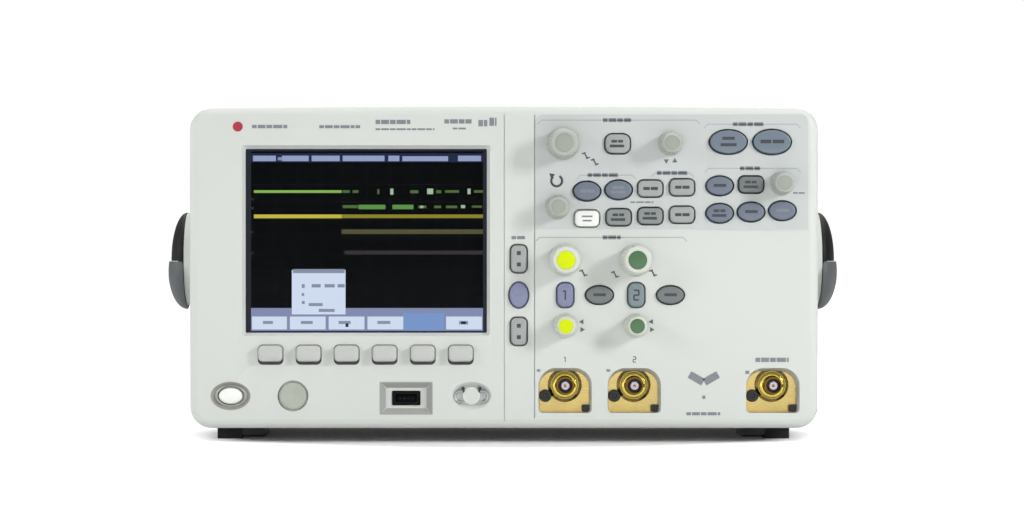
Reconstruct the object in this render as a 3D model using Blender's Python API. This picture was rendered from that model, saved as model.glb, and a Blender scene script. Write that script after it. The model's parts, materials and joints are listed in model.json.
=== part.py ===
"""Bench mixed-signal logic analyser: front bezel, case, controls, sockets, handle and inner modules.

Frame: +X to the right of someone facing the instrument, +Y from the face to the back, +Z up.
The origin is on the bench, under the centre of the whole object's box, with the handle stowed behind.
"""

import math

import bmesh
import bpy
from mathutils import Matrix, Vector

MM = 0.001

# Overall sizes
BODY_W = 354 * MM
BODY_H = 180 * MM
BODY_DEPTH = 174 * MM
FOOT_H = 8 * MM
HANDLE_REACH = 108 * MM
KNOB_PROUD = 17 * MM
HUB_PROUD = 22.5 * MM
HANDLE_SPAN = BODY_W + 2 * HUB_PROUD

# Shells and general clearances
WALL = 3 * MM
CORNER_R = 12 * MM
EDGE_R = 5 * MM
BEZEL_DEPTH = 38 * MM
CASE_INSET = 2.5 * MM
GAP = 0.3 * MM
OVERLAP = 0.5 * MM
CUT_PAST = 2 * MM

# Reference planes
FACE_Y = KNOB_PROUD - (KNOB_PROUD + BODY_DEPTH + HANDLE_REACH) / 2
REAR_Y = FACE_Y + BODY_DEPTH
LEFT = -BODY_W / 2
RIGHT = BODY_W / 2
BASE = FOOT_H
TOP = FOOT_H + BODY_H
CASE_HALF_W = BODY_W / 2 - CASE_INSET

# Display
DISPLAY_W = 136 * MM
DISPLAY_H = 103.6 * MM
DISPLAY_X = LEFT + 31.4 * MM + DISPLAY_W / 2
DISPLAY_Z = BASE + 105.5 * MM
DISPLAY_SINK = 5 * MM
BEVEL_SIDE = 9.6 * MM
BEVEL_END = 5 * MM
LIP_SIDE = 6.5 * MM
LIP_END = 4.5 * MM
WINDOW_T = 1.8 * MM
WINDOW_LAP = 2.2 * MM
POCKET_BACK = DISPLAY_SINK + WINDOW_T + 2 * GAP
MODULE_LAP = 4 * MM
MODULE_T = 10 * MM

# Keys: width, height, corner radius (None is an ellipse) and how far the cap stands out
SOFTKEY = (13.6 * MM, 9 * MM, 2.4 * MM, 3 * MM)
BLOCK_KEY = (14.6 * MM, 10 * MM, 3 * MM, 2.4 * MM)
DELAY_KEY = (15.2 * MM, 12 * MM, 4.4 * MM, 2.4 * MM)
OVAL_KEY = (15 * MM, 10.4 * MM, None, 2.4 * MM)
RUN_KEY = (22.6 * MM, 14.8 * MM, None, 2.6 * MM)
MENU_KEY = (15.2 * MM, 9.8 * MM, None, 2.4 * MM)
CHANNEL_KEY = (9.6 * MM, 14 * MM, 3.8 * MM, 2.4 * MM)
LOGIC_KEY = (10 * MM, 16.4 * MM, 2.6 * MM, 2.4 * MM)
LOGIC_MENU_KEY = (11 * MM, 14.6 * MM, None, 2.4 * MM)
POWER_KEY = (13.6 * MM, 9.2 * MM, None, 1.2 * MM)

KEY_GAP = 0.35 * MM
KEY_FLANGE = 0.8 * MM
KEY_FLANGE_T = 1.2 * MM
KEY_TRAVEL = 1.2 * MM
KEY_EDGE = 0.8 * MM
OVAL_POINTS = 16
CORNER_STEPS = 2

# Key and knob places, from the nearest edge of the panel
SOFTKEY_X = LEFT + 45.7 * MM
SOFTKEY_PITCH = 21.4 * MM
SOFTKEY_Z = BASE + 42.2 * MM
LOWER_ROW_Z = BASE + 18.3 * MM
POWER_X = LEFT + 23.3 * MM
INTENSITY_X = LEFT + 58.4 * MM
USB_X = LEFT + 122 * MM
USB_Z = BASE + 17 * MM
TERMINAL_X = LEFT + 158.7 * MM

LOGIC_X = RIGHT - 168.7 * MM
LOGIC_PITCH = 20.4 * MM
CHANNEL_X = RIGHT - 142.6 * MM
CHANNEL_PITCH = 39.9 * MM
CHANNEL_MENU_OFFSET = 19.2 * MM
CHANNEL_SCALE_Z = BASE + 94.6 * MM
CHANNEL_KEY_Z = BASE + 75 * MM
CHANNEL_POSITION_Z = BASE + 57.8 * MM

TOP_ROW_Z = TOP - 20 * MM
SCALE_KNOB_X = RIGHT - 143.6 * MM
DELAY_KEY_X = RIGHT - 113.2 * MM
POSITION_KNOB_X = RIGHT - 83.4 * MM
RUN_X = RIGHT - 51 * MM
RUN_PITCH = 24.6 * MM
ENTRY_X = RIGHT - 146.8 * MM
ENTRY_Z = TOP - 55.6 * MM
UPPER_KEYS_Z = TOP - 46.6 * MM
LOWER_KEYS_Z = TOP - 62 * MM
KEY_GROUP_X = RIGHT - 130.4 * MM
KEY_PITCH = 17.8 * MM
TRIGGER_X = RIGHT - 55.8 * MM
TRIGGER_PITCH = 17.6 * MM
ROW_RISE = 0.04

# Knobs
BIG_KNOB_R = 9.4 * MM
SMALL_KNOB_R = 6.4 * MM
SMALL_KNOB_PROUD = 14 * MM
KNOB_SKIRT = 1 * MM
KNOB_STANDOFF = 0.8 * MM
SHAFT_R = 3 * MM
SHAFT_HOLE_R = 4 * MM
DIAL_SINK = 4 * MM
DIAL_R = 6.8 * MM
DIAL_PROUD = 1.2 * MM
DIAL_CLEARANCE = 0.9 * MM

# Keypad board
BOARD_FRONT = WALL + 3.4 * MM
BOARD_T = 1.6 * MM
BOARD_MARGIN = WALL + 4 * MM

# Signal input sockets
SOCKET_X = (CHANNEL_X, CHANNEL_X + 38.9 * MM, RIGHT - 25.8 * MM)
SOCKET_Z = BASE + 24.1 * MM
ARCH_W = 30.6 * MM
ARCH_UP = 10.4 * MM
ARCH_DOWN = 15.4 * MM
ARCH_TOP_R = 10 * MM
ARCH_FOOT_R = 2.4 * MM
ARCH_DEPTH = 9 * MM
SHIELD_T = 1.2 * MM
BARREL_R = 4.85 * MM
BARREL_BORE_R = 4.05 * MM
BARREL_PROUD = 3 * MM
INSULATOR_R = 2.3 * MM
INSULATOR_SINK = 1 * MM
SOCKET_FLANGE_R = 7.6 * MM
SOCKET_FLANGE_T = 1.6 * MM
SOCKET_NECK_R = 6 * MM
SOCKET_BACK = 20 * MM
LUG_R = 1 * MM
LUG_PROUD = 1 * MM
LUG_SETBACK = 3.6 * MM

# Front USB socket and probe adjustment terminals
USB_RECESS_W = 30 * MM
USB_RECESS_H = 18.6 * MM
USB_RECESS_R = 2 * MM
USB_RECESS_DRAFT = 3.4 * MM
USB_SINK = 3.4 * MM
USB_W = 13.4 * MM
USB_H = 6 * MM
USB_DEPTH = 14 * MM
USB_METAL = 0.5 * MM
USB_CAVITY_DEPTH = 10 * MM
DISH_W = 22.4 * MM
DISH_H = 16 * MM
DISH_SINK = 3.2 * MM
DISH_DRAFT = 2.2 * MM
TERMINAL_R = 5 * MM
TERMINAL_PROUD = 1.4 * MM
TERMINAL_TAB_W = 3.4 * MM
TERMINAL_TAB_H = 5 * MM
TERMINAL_TAB_T = 0.9 * MM
TERMINAL_TAB_SPREAD = 2.6 * MM
TERMINAL_EYE_R = 0.8 * MM

# Feet
RAIL_W = 14 * MM
RAIL_X = CASE_HALF_W - 17 * MM
RAIL_INSET = BEZEL_DEPTH + 2 * MM
RAIL_PAD = 26 * MM
RAIL_RELIEF = 3 * MM
TILT_W = 13 * MM
TILT_T = 5 * MM
TILT_LENGTH = 38 * MM
TILT_PIN_R = 1.6 * MM
TILT_PIN_CAP = 1.2 * MM
TILT_GROUND_GAP = 1.2 * MM

# Handle
PIVOT_DEPTH = 92 * MM
PIVOT_Z = BASE + 95.5 * MM
PIVOT_PIN_R = 7 * MM
PIVOT_PIN_LENGTH = 12 * MM
PIVOT_BOSS_R = 20 * MM
PIVOT_BOSS_T = 1 * MM
HUB_R = 26.5 * MM
HUB_CLEARANCE = 0.5 * MM
HUB_DOME = 9 * MM
ARM_T = 10 * MM
ARM_H = 24 * MM
GRIP_T = 24 * MM
ARM_BEND_R = 34 * MM

# Rear and inner modules
BOARD_STANDOFF = 9 * MM
MAIN_BOARD_X = (-72 * MM, 150 * MM)
IO_CLEARANCE = 0.6 * MM
PORT_SINK = 0.4 * MM
LAN_PORT = (16 * MM, 13.6 * MM, 21 * MM)
LAN_CAVITY = (12 * MM, 8.4 * MM, 12 * MM)
LAN_X = 118 * MM
USB_B_PORT = (12 * MM, 11 * MM, 16 * MM)
USB_B_CAVITY = (8.6 * MM, 7.8 * MM, 9 * MM)
USB_B_X = 92 * MM
VIDEO_PORT = (31 * MM, 12.4 * MM, 14 * MM)
VIDEO_CAVITY = (17 * MM, 8.2 * MM, 6 * MM)
VIDEO_X = 58 * MM
POD_SOCKET = (60 * MM, 12 * MM, 18 * MM)
POD_CAVITY = (52 * MM, 6.6 * MM, 9 * MM)
POD_X = -22 * MM
SUPPLY_W = 84 * MM
SUPPLY_H = 58 * MM
SUPPLY_L = 110 * MM
SUPPLY_WALL = 1.6 * MM
SUPPLY_FOOT = 2 * MM
TRANSFORMER = (34 * MM, 36 * MM, 34 * MM)
HEAT_SINK = (4 * MM, 70 * MM, 40 * MM)
CAPACITOR_R = 9 * MM
CAPACITOR_H = 38 * MM
CAPACITOR_PITCH = 22 * MM
SUPPLY_X = LEFT + 60 * MM
SUPPLY_BACK_GAP = 14 * MM
INLET_W = 30 * MM
INLET_H = 24 * MM
INLET_CAVITY_W = 24.4 * MM
INLET_CAVITY_H = 17 * MM
INLET_CAVITY_DEPTH = 13 * MM
INLET_Z = BASE + 26 * MM
FAN_SIZE = 80 * MM
FAN_T = 20 * MM
FAN_X = 84 * MM
FAN_Z = TOP - 58 * MM
FAN_BORE_R = 37.5 * MM
FAN_TIP_R = 36 * MM
FAN_HUB_R = 15 * MM
FAN_MOUNT_T = 3.4 * MM
FAN_SPOKE_W = 5 * MM
FAN_BLADES = 7
FAN_BLADE_T = 1.6 * MM
FAN_BLADE_CHORD = 15 * MM
FAN_PITCH = math.radians(38)
GRILLE_SLOT = 5 * MM
GRILLE_RIB = 3.4 * MM
VENT_COUNT = 7
VENT_PITCH = 9 * MM
VENT_W = 4 * MM
VENT_H = 44 * MM

TURN_STEPS = 20

PALETTE = {
    "shell_plastic": ((0.80, 0.81, 0.79), 0.45, 0.0),
    "key_grey": ((0.52, 0.54, 0.53), 0.5, 0.0),
    "key_blue": ((0.42, 0.47, 0.54), 0.5, 0.0),
    "key_white": ((0.88, 0.89, 0.87), 0.45, 0.0),
    "knob_plastic": ((0.74, 0.76, 0.73), 0.45, 0.0),
    "socket_metal": ((0.72, 0.60, 0.24), 0.3, 1.0),
    "plated_steel": ((0.62, 0.63, 0.64), 0.35, 1.0),
    "window_glass": ((0.05, 0.06, 0.08), 0.1, 0.0),
    "board_green": ((0.06, 0.22, 0.12), 0.6, 0.0),
    "black_plastic": ((0.03, 0.03, 0.03), 0.5, 0.0),
    "handle_rubber": ((0.08, 0.08, 0.09), 0.6, 0.0),
    "foot_rubber": ((0.02, 0.02, 0.02), 0.8, 0.0),
}


def collection_named(name, parent=None):
    """A collection, made and linked the first time it is asked for."""
    found = bpy.data.collections.get(name)
    if found is None:
        found = bpy.data.collections.new(name)
        (parent or bpy.context.scene.collection).children.link(found)
    return found


def material_named(name):
    """A Principled material from the palette."""
    found = bpy.data.materials.get(name)
    if found is None:
        colour, roughness, metallic = PALETTE[name]
        found = bpy.data.materials.new(name)
        found.use_nodes = True
        shader = found.node_tree.nodes["Principled BSDF"]
        shader.inputs["Base Color"].default_value = (*colour, 1.0)
        shader.inputs["Roughness"].default_value = roughness
        shader.inputs["Metallic"].default_value = metallic
        found.diffuse_color = (*colour, 1.0)
    return found


# ---- outlines: lists of (x, z) points, anticlockwise seen from the front ----


def oval(width, height, points=OVAL_POINTS):
    """An ellipse about the origin."""
    turns = [math.tau * (i + 0.5) / points for i in range(points)]
    return [(width / 2 * math.cos(t), height / 2 * math.sin(t)) for t in turns]


def rounded(width, height, radius, steps=CORNER_STEPS, foot_radius=None):
    """A rectangle with round corners about the origin; foot_radius sets the lower two."""
    foot_radius = radius if foot_radius is None else foot_radius
    corners = ((1, 1, radius, 0), (-1, 1, radius, 1), (-1, -1, foot_radius, 2), (1, -1, foot_radius, 3))
    points = []
    for side, end, r, quarter in corners:
        cx = side * (width / 2 - r)
        cz = end * (height / 2 - r)
        for i in range(steps + 1):
            t = math.pi / 2 * (quarter + i / steps)
            points.append((cx + r * math.cos(t), cz + r * math.sin(t)))
    return points


def moved(outline, x, z):
    """The outline carried to x, z."""
    return [(px + x, pz + z) for px, pz in outline]


# ---- meshes ----


def verts_of(geometry):
    """The vertices in the geometry that an operator returns."""
    return [item for item in geometry if isinstance(item, bmesh.types.BMVert)]


def raised_face(bm, face, along_y):
    """Extrudes one face along Y, and returns the new one."""
    made = bmesh.ops.extrude_face_region(bm, geom=[face])["geom"]
    front = next(item for item in made if isinstance(item, bmesh.types.BMFace))
    bmesh.ops.translate(bm, verts=front.verts, vec=(0, along_y, 0))
    return front


def first_face(bm, outline, y):
    """A flat face of that outline, at y."""
    return bm.faces.new([bm.verts.new((x, y, z)) for x, z in outline])


def prism(outline, y0, y1, far_outline=None):
    """A block of that outline from y0 to y1; far_outline, with as many points, shapes the y1 end."""
    bm = bmesh.new()
    far = raised_face(bm, first_face(bm, outline, y0), y1 - y0)
    if far_outline:
        for vert, (x, z) in zip(far.verts, far_outline):
            vert.co.x, vert.co.z = x, z
    bmesh.ops.recalc_face_normals(bm, faces=bm.faces[:])
    return bm


def block(x0, x1, y0, y1, z0, z1):
    """A box between those limits."""
    bm = bmesh.new()
    size = Vector((x1 - x0, y1 - y0, z1 - z0))
    centre = Vector((x0 + x1, y0 + y1, z0 + z1)) / 2
    bmesh.ops.create_cube(bm, size=1, matrix=Matrix.Translation(centre) @ Matrix.Diagonal((*size, 1)))
    return bm


def centred_block(x, z, size, y0, y1):
    """A box of that (width, height) about x, z, from y0 to y1."""
    return block(x - size[0] / 2, x + size[0] / 2, y0, y1, z - size[1] / 2, z + size[1] / 2)


def rod(radius, start, end, steps=TURN_STEPS):
    """A round rod between two points."""
    bm = bmesh.new()
    axis = Vector(end) - Vector(start)
    place = Matrix.Translation((Vector(start) + Vector(end)) / 2)
    turn = axis.to_track_quat("Z", "Y").to_matrix().to_4x4()
    ends = {"radius1": radius, "radius2": radius, "depth": axis.length}
    bmesh.ops.create_cone(bm, cap_ends=True, segments=steps, matrix=place @ turn, **ends)
    return bm


def turned(profile, steps=TURN_STEPS):
    """A closed turned shape about the Y axis, from (radius, y) points that start and end on the axis."""
    bm = bmesh.new()
    verts = [bm.verts.new((r, y, 0)) for r, y in profile]
    edges = [bm.edges.new(pair) for pair in zip(verts, verts[1:])]
    bmesh.ops.spin(
        bm, geom=verts + edges, cent=(0, 0, 0), axis=(0, 1, 0), angle=math.tau, steps=steps, use_merge=True
    )
    bmesh.ops.remove_doubles(bm, verts=bm.verts[:], dist=1e-6)
    bmesh.ops.recalc_face_normals(bm, faces=bm.faces[:])
    return bm


def round_edges(bm, edges, radius, segments):
    """Rounds those edges."""
    bmesh.ops.bevel(bm, geom=edges, offset=radius, segments=segments, profile=0.5, affect="EDGES")


def edges_at_y(bm, y):
    """The edges whose two ends lie at y."""
    return [e for e in bm.edges if all(abs(v.co.y - y) < 1e-6 for v in e.verts)]


# ---- objects ----


def mesh_object(name, bm, location, collection):
    """A named object from a bmesh, with its origin at location; the bmesh is in the same frame."""
    mesh = bpy.data.meshes.new(name)
    bm.to_mesh(mesh)
    bm.free()
    mesh.transform(Matrix.Translation(-Vector(location)))
    made = bpy.data.objects.new(name, mesh)
    made.location = location
    collection.objects.link(made)
    return made


def part(name, bm, material, location=(0, 0, 0)):
    """One visible piece of the instrument."""
    made = mesh_object(name, bm, location, collection_named("logic_analyser"))
    made.data.materials.append(material_named(material))
    made.data.shade_smooth()
    made.data.set_sharp_from_angle(angle=math.radians(35))
    return made


def helper(group, label, bm):
    """One hidden body of a named group of cutters or joined pieces."""
    bodies = collection_named(group, collection_named("helpers"))
    made = mesh_object(f"{group}_{label}", bm, (0, 0, 0), bodies)
    made.hide_render = True
    made.display_type = "WIRE"
    return bodies


def combine(target, operation, group):
    """A Boolean of the whole group on the target."""
    modifier = target.modifiers.new(group, "BOOLEAN")
    modifier.operation = operation
    modifier.operand_type = "COLLECTION"
    modifier.collection = bpy.data.collections[group]
    modifier.solver = "EXACT"


# ---- the front controls ----


def key_places():
    """Every key as (name, kind, x, z, material)."""
    keys = []
    for i in range(6):
        keys.append((f"softkey_{i + 1}", SOFTKEY, SOFTKEY_X + i * SOFTKEY_PITCH, SOFTKEY_Z, "key_grey"))
    logic = (
        ("logic_high_key", LOGIC_KEY, 1),
        ("logic_menu_key", LOGIC_MENU_KEY, 0),
        ("logic_low_key", LOGIC_KEY, -1),
    )
    for name, kind, row in logic:
        keys.append((name, kind, LOGIC_X, CHANNEL_KEY_Z + row * LOGIC_PITCH, "key_grey"))
    keys.append(("delay_menu_key", DELAY_KEY, DELAY_KEY_X, TOP_ROW_Z, "key_grey"))
    for i, name in enumerate(("run_stop_key", "single_key")):
        keys.append((name, RUN_KEY, RUN_X + i * RUN_PITCH, TOP_ROW_Z + 1 * MM, "key_blue"))
    rows = (
        ("cursors_key", OVAL_KEY, 0, UPPER_KEYS_Z, "key_blue"),
        ("measure_key", OVAL_KEY, 1, UPPER_KEYS_Z, "key_blue"),
        ("acquire_key", BLOCK_KEY, 2, UPPER_KEYS_Z, "key_grey"),
        ("screen_key", BLOCK_KEY, 3, UPPER_KEYS_Z, "key_grey"),
        ("autoscale_key", BLOCK_KEY, 0, LOWER_KEYS_Z, "key_white"),
        ("save_key", BLOCK_KEY, 1, LOWER_KEYS_Z, "key_grey"),
        ("print_key", BLOCK_KEY, 2, LOWER_KEYS_Z, "key_grey"),
        ("utility_key", BLOCK_KEY, 3, LOWER_KEYS_Z, "key_grey"),
    )
    for name, kind, column, z, material in rows:
        keys.append((name, kind, KEY_GROUP_X + column * KEY_PITCH, z, material))
    trigger = (
        ("edge_key", OVAL_KEY, 0, UPPER_KEYS_Z, "key_blue"),
        ("coupling_key", BLOCK_KEY, 1, UPPER_KEYS_Z, "key_grey"),
        ("pulse_key", OVAL_KEY, 0, LOWER_KEYS_Z, "key_blue"),
        ("pattern_key", OVAL_KEY, 1, LOWER_KEYS_Z, "key_blue"),
        ("trigger_more_key", OVAL_KEY, 2, LOWER_KEYS_Z, "key_blue"),
    )
    for name, kind, column, z, material in trigger:
        keys.append((name, kind, TRIGGER_X + column * TRIGGER_PITCH, z, material))
    for i in range(2):
        x = CHANNEL_X + i * CHANNEL_PITCH
        beside = ("math_key", "label_key")[i]
        keys.append((f"channel_{i + 1}_key", CHANNEL_KEY, x, CHANNEL_KEY_Z, "key_blue"))
        keys.append((beside, MENU_KEY, x + CHANNEL_MENU_OFFSET, CHANNEL_KEY_Z, "key_grey"))
    return [(name, kind, x, z + row_rise(x, z), material) for name, kind, x, z, material in keys]


def row_rise(x, z):
    """How far the two long key rows climb towards the right."""
    in_rows = LOWER_KEYS_Z - 1 * MM < z < UPPER_KEYS_Z + 1 * MM
    return ROW_RISE * (x - KEY_GROUP_X) if in_rows else 0


def knob_places():
    """Every standing knob as (name, radius, height, x, z)."""
    level_x = TRIGGER_X + 2 * TRIGGER_PITCH
    level_z = UPPER_KEYS_Z + row_rise(level_x, UPPER_KEYS_Z)
    knobs = [
        ("sweep_scale_knob", BIG_KNOB_R, KNOB_PROUD, SCALE_KNOB_X, TOP_ROW_Z),
        ("sweep_position_knob", SMALL_KNOB_R, SMALL_KNOB_PROUD, POSITION_KNOB_X, TOP_ROW_Z),
        ("entry_knob", SMALL_KNOB_R, SMALL_KNOB_PROUD, ENTRY_X, ENTRY_Z),
        ("trigger_level_knob", SMALL_KNOB_R, SMALL_KNOB_PROUD, level_x, level_z),
    ]
    for i in range(2):
        x = CHANNEL_X + i * CHANNEL_PITCH
        channel = f"channel_{i + 1}"
        knobs.append((f"{channel}_scale_knob", BIG_KNOB_R, KNOB_PROUD, x, CHANNEL_SCALE_Z))
        knobs.append((f"{channel}_position_knob", SMALL_KNOB_R, SMALL_KNOB_PROUD, x, CHANNEL_POSITION_Z))
    return knobs


def key_outline(kind, grow=0.0):
    """The outline of a key's cap, or of its hole when grown."""
    width, height, radius, _ = kind
    if radius is None:
        return oval(width + 2 * grow, height + 2 * grow)
    return rounded(width + 2 * grow, height + 2 * grow, radius + grow)


def key_mesh(kind, x, z, flange_front, cap_front):
    """A cap that stands through the panel, on a wider flange that holds it in."""
    bm = bmesh.new()
    outline = moved(key_outline(kind, KEY_FLANGE), x, z)
    back = first_face(bm, outline, FACE_Y + flange_front + KEY_FLANGE_T)
    front = raised_face(bm, back, -KEY_FLANGE_T)
    bmesh.ops.recalc_face_normals(bm, faces=bm.faces[:])
    bmesh.ops.inset_region(bm, faces=[front], thickness=KEY_FLANGE, use_even_offset=True)
    cap = raised_face(bm, front, cap_front - flange_front)
    bmesh.ops.delete(bm, geom=[front], context="FACES_ONLY")
    round_edges(bm, cap.edges[:], KEY_EDGE, 1)
    bmesh.ops.recalc_face_normals(bm, faces=bm.faces[:])
    return bm


def make_keys():
    """The keys, and a cutter for each one's hole."""
    for name, kind, x, z, material in key_places():
        part(name, key_mesh(kind, x, z, WALL + GAP, -kind[3]), material, (x, FACE_Y, z))
        hole = prism(moved(key_outline(kind, KEY_GAP), x, z), FACE_Y - CUT_PAST, FACE_Y + WALL + CUT_PAST)
        helper("bezel_holes", name, hole)


def make_power_key():
    """The latching power key, in its sunk oval dish."""
    floor = DISH_SINK + WALL
    mesh = key_mesh(POWER_KEY, POWER_X, LOWER_ROW_Z, floor + GAP, -POWER_KEY[3])
    part("power_key", mesh, "key_white", (POWER_X, FACE_Y, LOWER_ROW_Z))
    make_dish("power", POWER_X, LOWER_ROW_Z, DISH_W, DISH_H, DISH_SINK, DISH_DRAFT)
    outline = moved(key_outline(POWER_KEY, KEY_GAP), POWER_X, LOWER_ROW_Z)
    helper("bezel_holes", "power", prism(outline, FACE_Y, FACE_Y + floor + CUT_PAST))


def make_dish(label, x, z, width, height, sink, draft):
    """A sunk oval dish in the panel, and the boss behind that makes its floor."""
    boss = moved(oval(width + 2 * WALL, height + 2 * WALL), x, z)
    helper("bezel_bosses", label, prism(boss, FACE_Y + WALL - OVERLAP, FACE_Y + sink + WALL))
    mouth = moved(oval(width, height), x, z)
    floor = moved(oval(width - 2 * draft, height - 2 * draft), x, z)
    slope = draft / sink
    wide = moved(oval(width + 2 * slope * CUT_PAST, height + 2 * slope * CUT_PAST), x, z)
    assert len(mouth) == len(wide)
    helper("bezel_holes", f"{label}_dish", prism(wide, FACE_Y - CUT_PAST, FACE_Y + sink, floor))


def knob_mesh(radius, proud, x, z, shaft_back, base_front):
    """A knob: a shaft through the panel, a flared skirt and a slightly tapered grip."""
    top = FACE_Y - proud
    base = FACE_Y + base_front
    profile = (
        (0, FACE_Y + shaft_back),
        (SHAFT_R, FACE_Y + shaft_back),
        (SHAFT_R, base),
        (radius + KNOB_SKIRT, base),
        (radius + KNOB_SKIRT, base - 1.6 * MM),
        (radius, base - 3.2 * MM),
        (radius * 0.93, top + 1.2 * MM),
        (radius * 0.93 - 1.2 * MM, top),
        (0, top),
    )
    bm = turned(profile)
    bmesh.ops.translate(bm, verts=bm.verts[:], vec=(x, 0, z))
    return bm


def make_knobs():
    """The standing knobs and their shaft holes."""
    shaft_back = BOARD_FRONT - GAP
    for name, radius, proud, x, z in knob_places():
        mesh = knob_mesh(radius, proud, x, z, shaft_back, -KNOB_STANDOFF)
        part(name, mesh, "knob_plastic", (x, FACE_Y, z))
        hole = rod(SHAFT_HOLE_R, (x, FACE_Y - CUT_PAST, z), (x, FACE_Y + WALL + CUT_PAST, z), OVAL_POINTS)
        helper("bezel_holes", name, hole)


def make_intensity_dial():
    """The flat brightness dial, sunk in a round well."""
    x, z = INTENSITY_X, LOWER_ROW_Z
    floor = FACE_Y + DIAL_SINK + WALL
    top = FACE_Y - DIAL_PROUD
    seat = FACE_Y + DIAL_SINK - KNOB_STANDOFF
    profile = (
        (0, floor + CUT_PAST),
        (SHAFT_R, floor + CUT_PAST),
        (SHAFT_R, seat),
        (DIAL_R, seat),
        (DIAL_R, top + KEY_EDGE),
        (DIAL_R - KEY_EDGE, top),
        (0, top),
    )
    bm = turned(profile)
    bmesh.ops.translate(bm, verts=bm.verts[:], vec=(x, 0, z))
    part("intensity_dial", bm, "knob_plastic", (x, FACE_Y, z))
    well_r = DIAL_R + DIAL_CLEARANCE
    helper("bezel_bosses", "dial", rod(well_r + WALL, (x, FACE_Y + WALL - OVERLAP, z), (x, floor, z)))
    helper("bezel_holes", "dial_well", rod(well_r, (x, FACE_Y - CUT_PAST, z), (x, FACE_Y + DIAL_SINK, z)))
    shaft_hole = rod(SHAFT_HOLE_R, (x, FACE_Y, z), (x, floor + CUT_PAST, z), OVAL_POINTS)
    helper("bezel_holes", "dial_shaft", shaft_hole)


# ---- display, boards and bezel ----


def make_display():
    """The window and the display module, and the sloping frame that the bezel has round them."""
    x, z = DISPLAY_X, DISPLAY_Z
    frame = (DISPLAY_W + 2 * LIP_SIDE, DISPLAY_H + 2 * LIP_END)
    boss = centred_block(x, z, frame, FACE_Y + WALL - OVERLAP, FACE_Y + POCKET_BACK)
    helper("bezel_bosses", "display", boss)

    reach = (DISPLAY_SINK + CUT_PAST) / DISPLAY_SINK
    mouth = (DISPLAY_W + 2 * BEVEL_SIDE * reach, DISPLAY_H + 2 * BEVEL_END * reach)
    corner = 3 * MM
    wide = moved(rounded(*mouth, corner), x, z)
    sill = moved(rounded(DISPLAY_W, DISPLAY_H, 0.6 * MM), x, z)
    helper("bezel_holes", "display_slope", prism(wide, FACE_Y - CUT_PAST, FACE_Y + DISPLAY_SINK, sill))
    through = prism(sill, FACE_Y + DISPLAY_SINK - OVERLAP, FACE_Y + POCKET_BACK + CUT_PAST)
    helper("bezel_holes", "display_sill", through)
    pane = (DISPLAY_W + 2 * WINDOW_LAP, DISPLAY_H + 2 * WINDOW_LAP)
    pocket = (pane[0] + 2 * GAP, pane[1] + 2 * GAP)
    pocket_back = FACE_Y + POCKET_BACK + CUT_PAST
    helper("bezel_holes", "display_pocket", centred_block(x, z, pocket, FACE_Y + DISPLAY_SINK, pocket_back))

    pane_front = FACE_Y + DISPLAY_SINK + GAP
    window = centred_block(x, z, pane, pane_front, pane_front + WINDOW_T)
    part("screen_window", window, "window_glass", (x, pane_front, z))
    module_front = FACE_Y + POCKET_BACK + GAP
    module = (DISPLAY_W + 2 * MODULE_LAP, DISPLAY_H + 2 * MODULE_LAP)
    bm = centred_block(x, z, module, module_front, module_front + MODULE_T)
    round_edges(bm, edges_at_y(bm, module_front + MODULE_T), 1.5 * MM, 1)
    part("display_module", bm, "plated_steel", (x, module_front, z))


def make_keypad_board():
    """The L-shaped board behind the keys: a strip under the display, and the panel side."""
    front = FACE_Y + BOARD_FRONT
    strip_z0 = SOFTKEY_Z - 8 * MM
    strip_z1 = DISPLAY_Z - DISPLAY_H / 2 - LIP_END - 2 * GAP
    panel_x0 = DISPLAY_X + DISPLAY_W / 2 + LIP_SIDE + 2 * GAP
    panel_x1 = RIGHT - BOARD_MARGIN
    panel_z0 = SOCKET_Z + ARCH_UP + WALL + 3 * MM
    strip_x0 = SOFTKEY_X - 10 * MM
    outline = [
        (strip_x0, strip_z0),
        (panel_x0 + WALL, strip_z0),
        (panel_x0 + WALL, panel_z0),
        (panel_x1, panel_z0),
        (panel_x1, TOP - BOARD_MARGIN),
        (panel_x0, TOP - BOARD_MARGIN),
        (panel_x0, strip_z1),
        (strip_x0, strip_z1),
    ]
    part("keypad_board", prism(outline, front, front + BOARD_T), "board_green", (0, front, DISPLAY_Z))


def body_outline(inset, steps=4):
    """The instrument's outline seen from the front, drawn in by inset."""
    shape = rounded(BODY_W - 2 * inset, BODY_H - 2 * inset, CORNER_R - inset, steps)
    return moved(shape, 0, BASE + BODY_H / 2)


def make_bezel():
    """The front moulding: face, side walls, bosses, and every opening in it."""
    back = FACE_Y + BEZEL_DEPTH
    bm = prism(body_outline(0), FACE_Y, back)
    round_edges(bm, edges_at_y(bm, FACE_Y), EDGE_R, 3)
    bezel = part("front_bezel", bm, "shell_plastic", (0, FACE_Y, BASE + BODY_H / 2))
    helper("bezel_inside", "cavity", prism(body_outline(WALL), FACE_Y + WALL, back + CUT_PAST))
    combine(bezel, "DIFFERENCE", "bezel_inside")
    combine(bezel, "UNION", "bezel_bosses")
    combine(bezel, "DIFFERENCE", "bezel_holes")


# ---- sockets ----


def arch(grow=0.0):
    """The outline of the recess round an input socket, about the socket's axis."""
    width, height = ARCH_W + 2 * grow, ARCH_UP + ARCH_DOWN + 2 * grow
    shape = rounded(width, height, ARCH_TOP_R + grow, 3, ARCH_FOOT_R + grow)
    return moved(shape, 0, (ARCH_UP - ARCH_DOWN) / 2)


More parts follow.
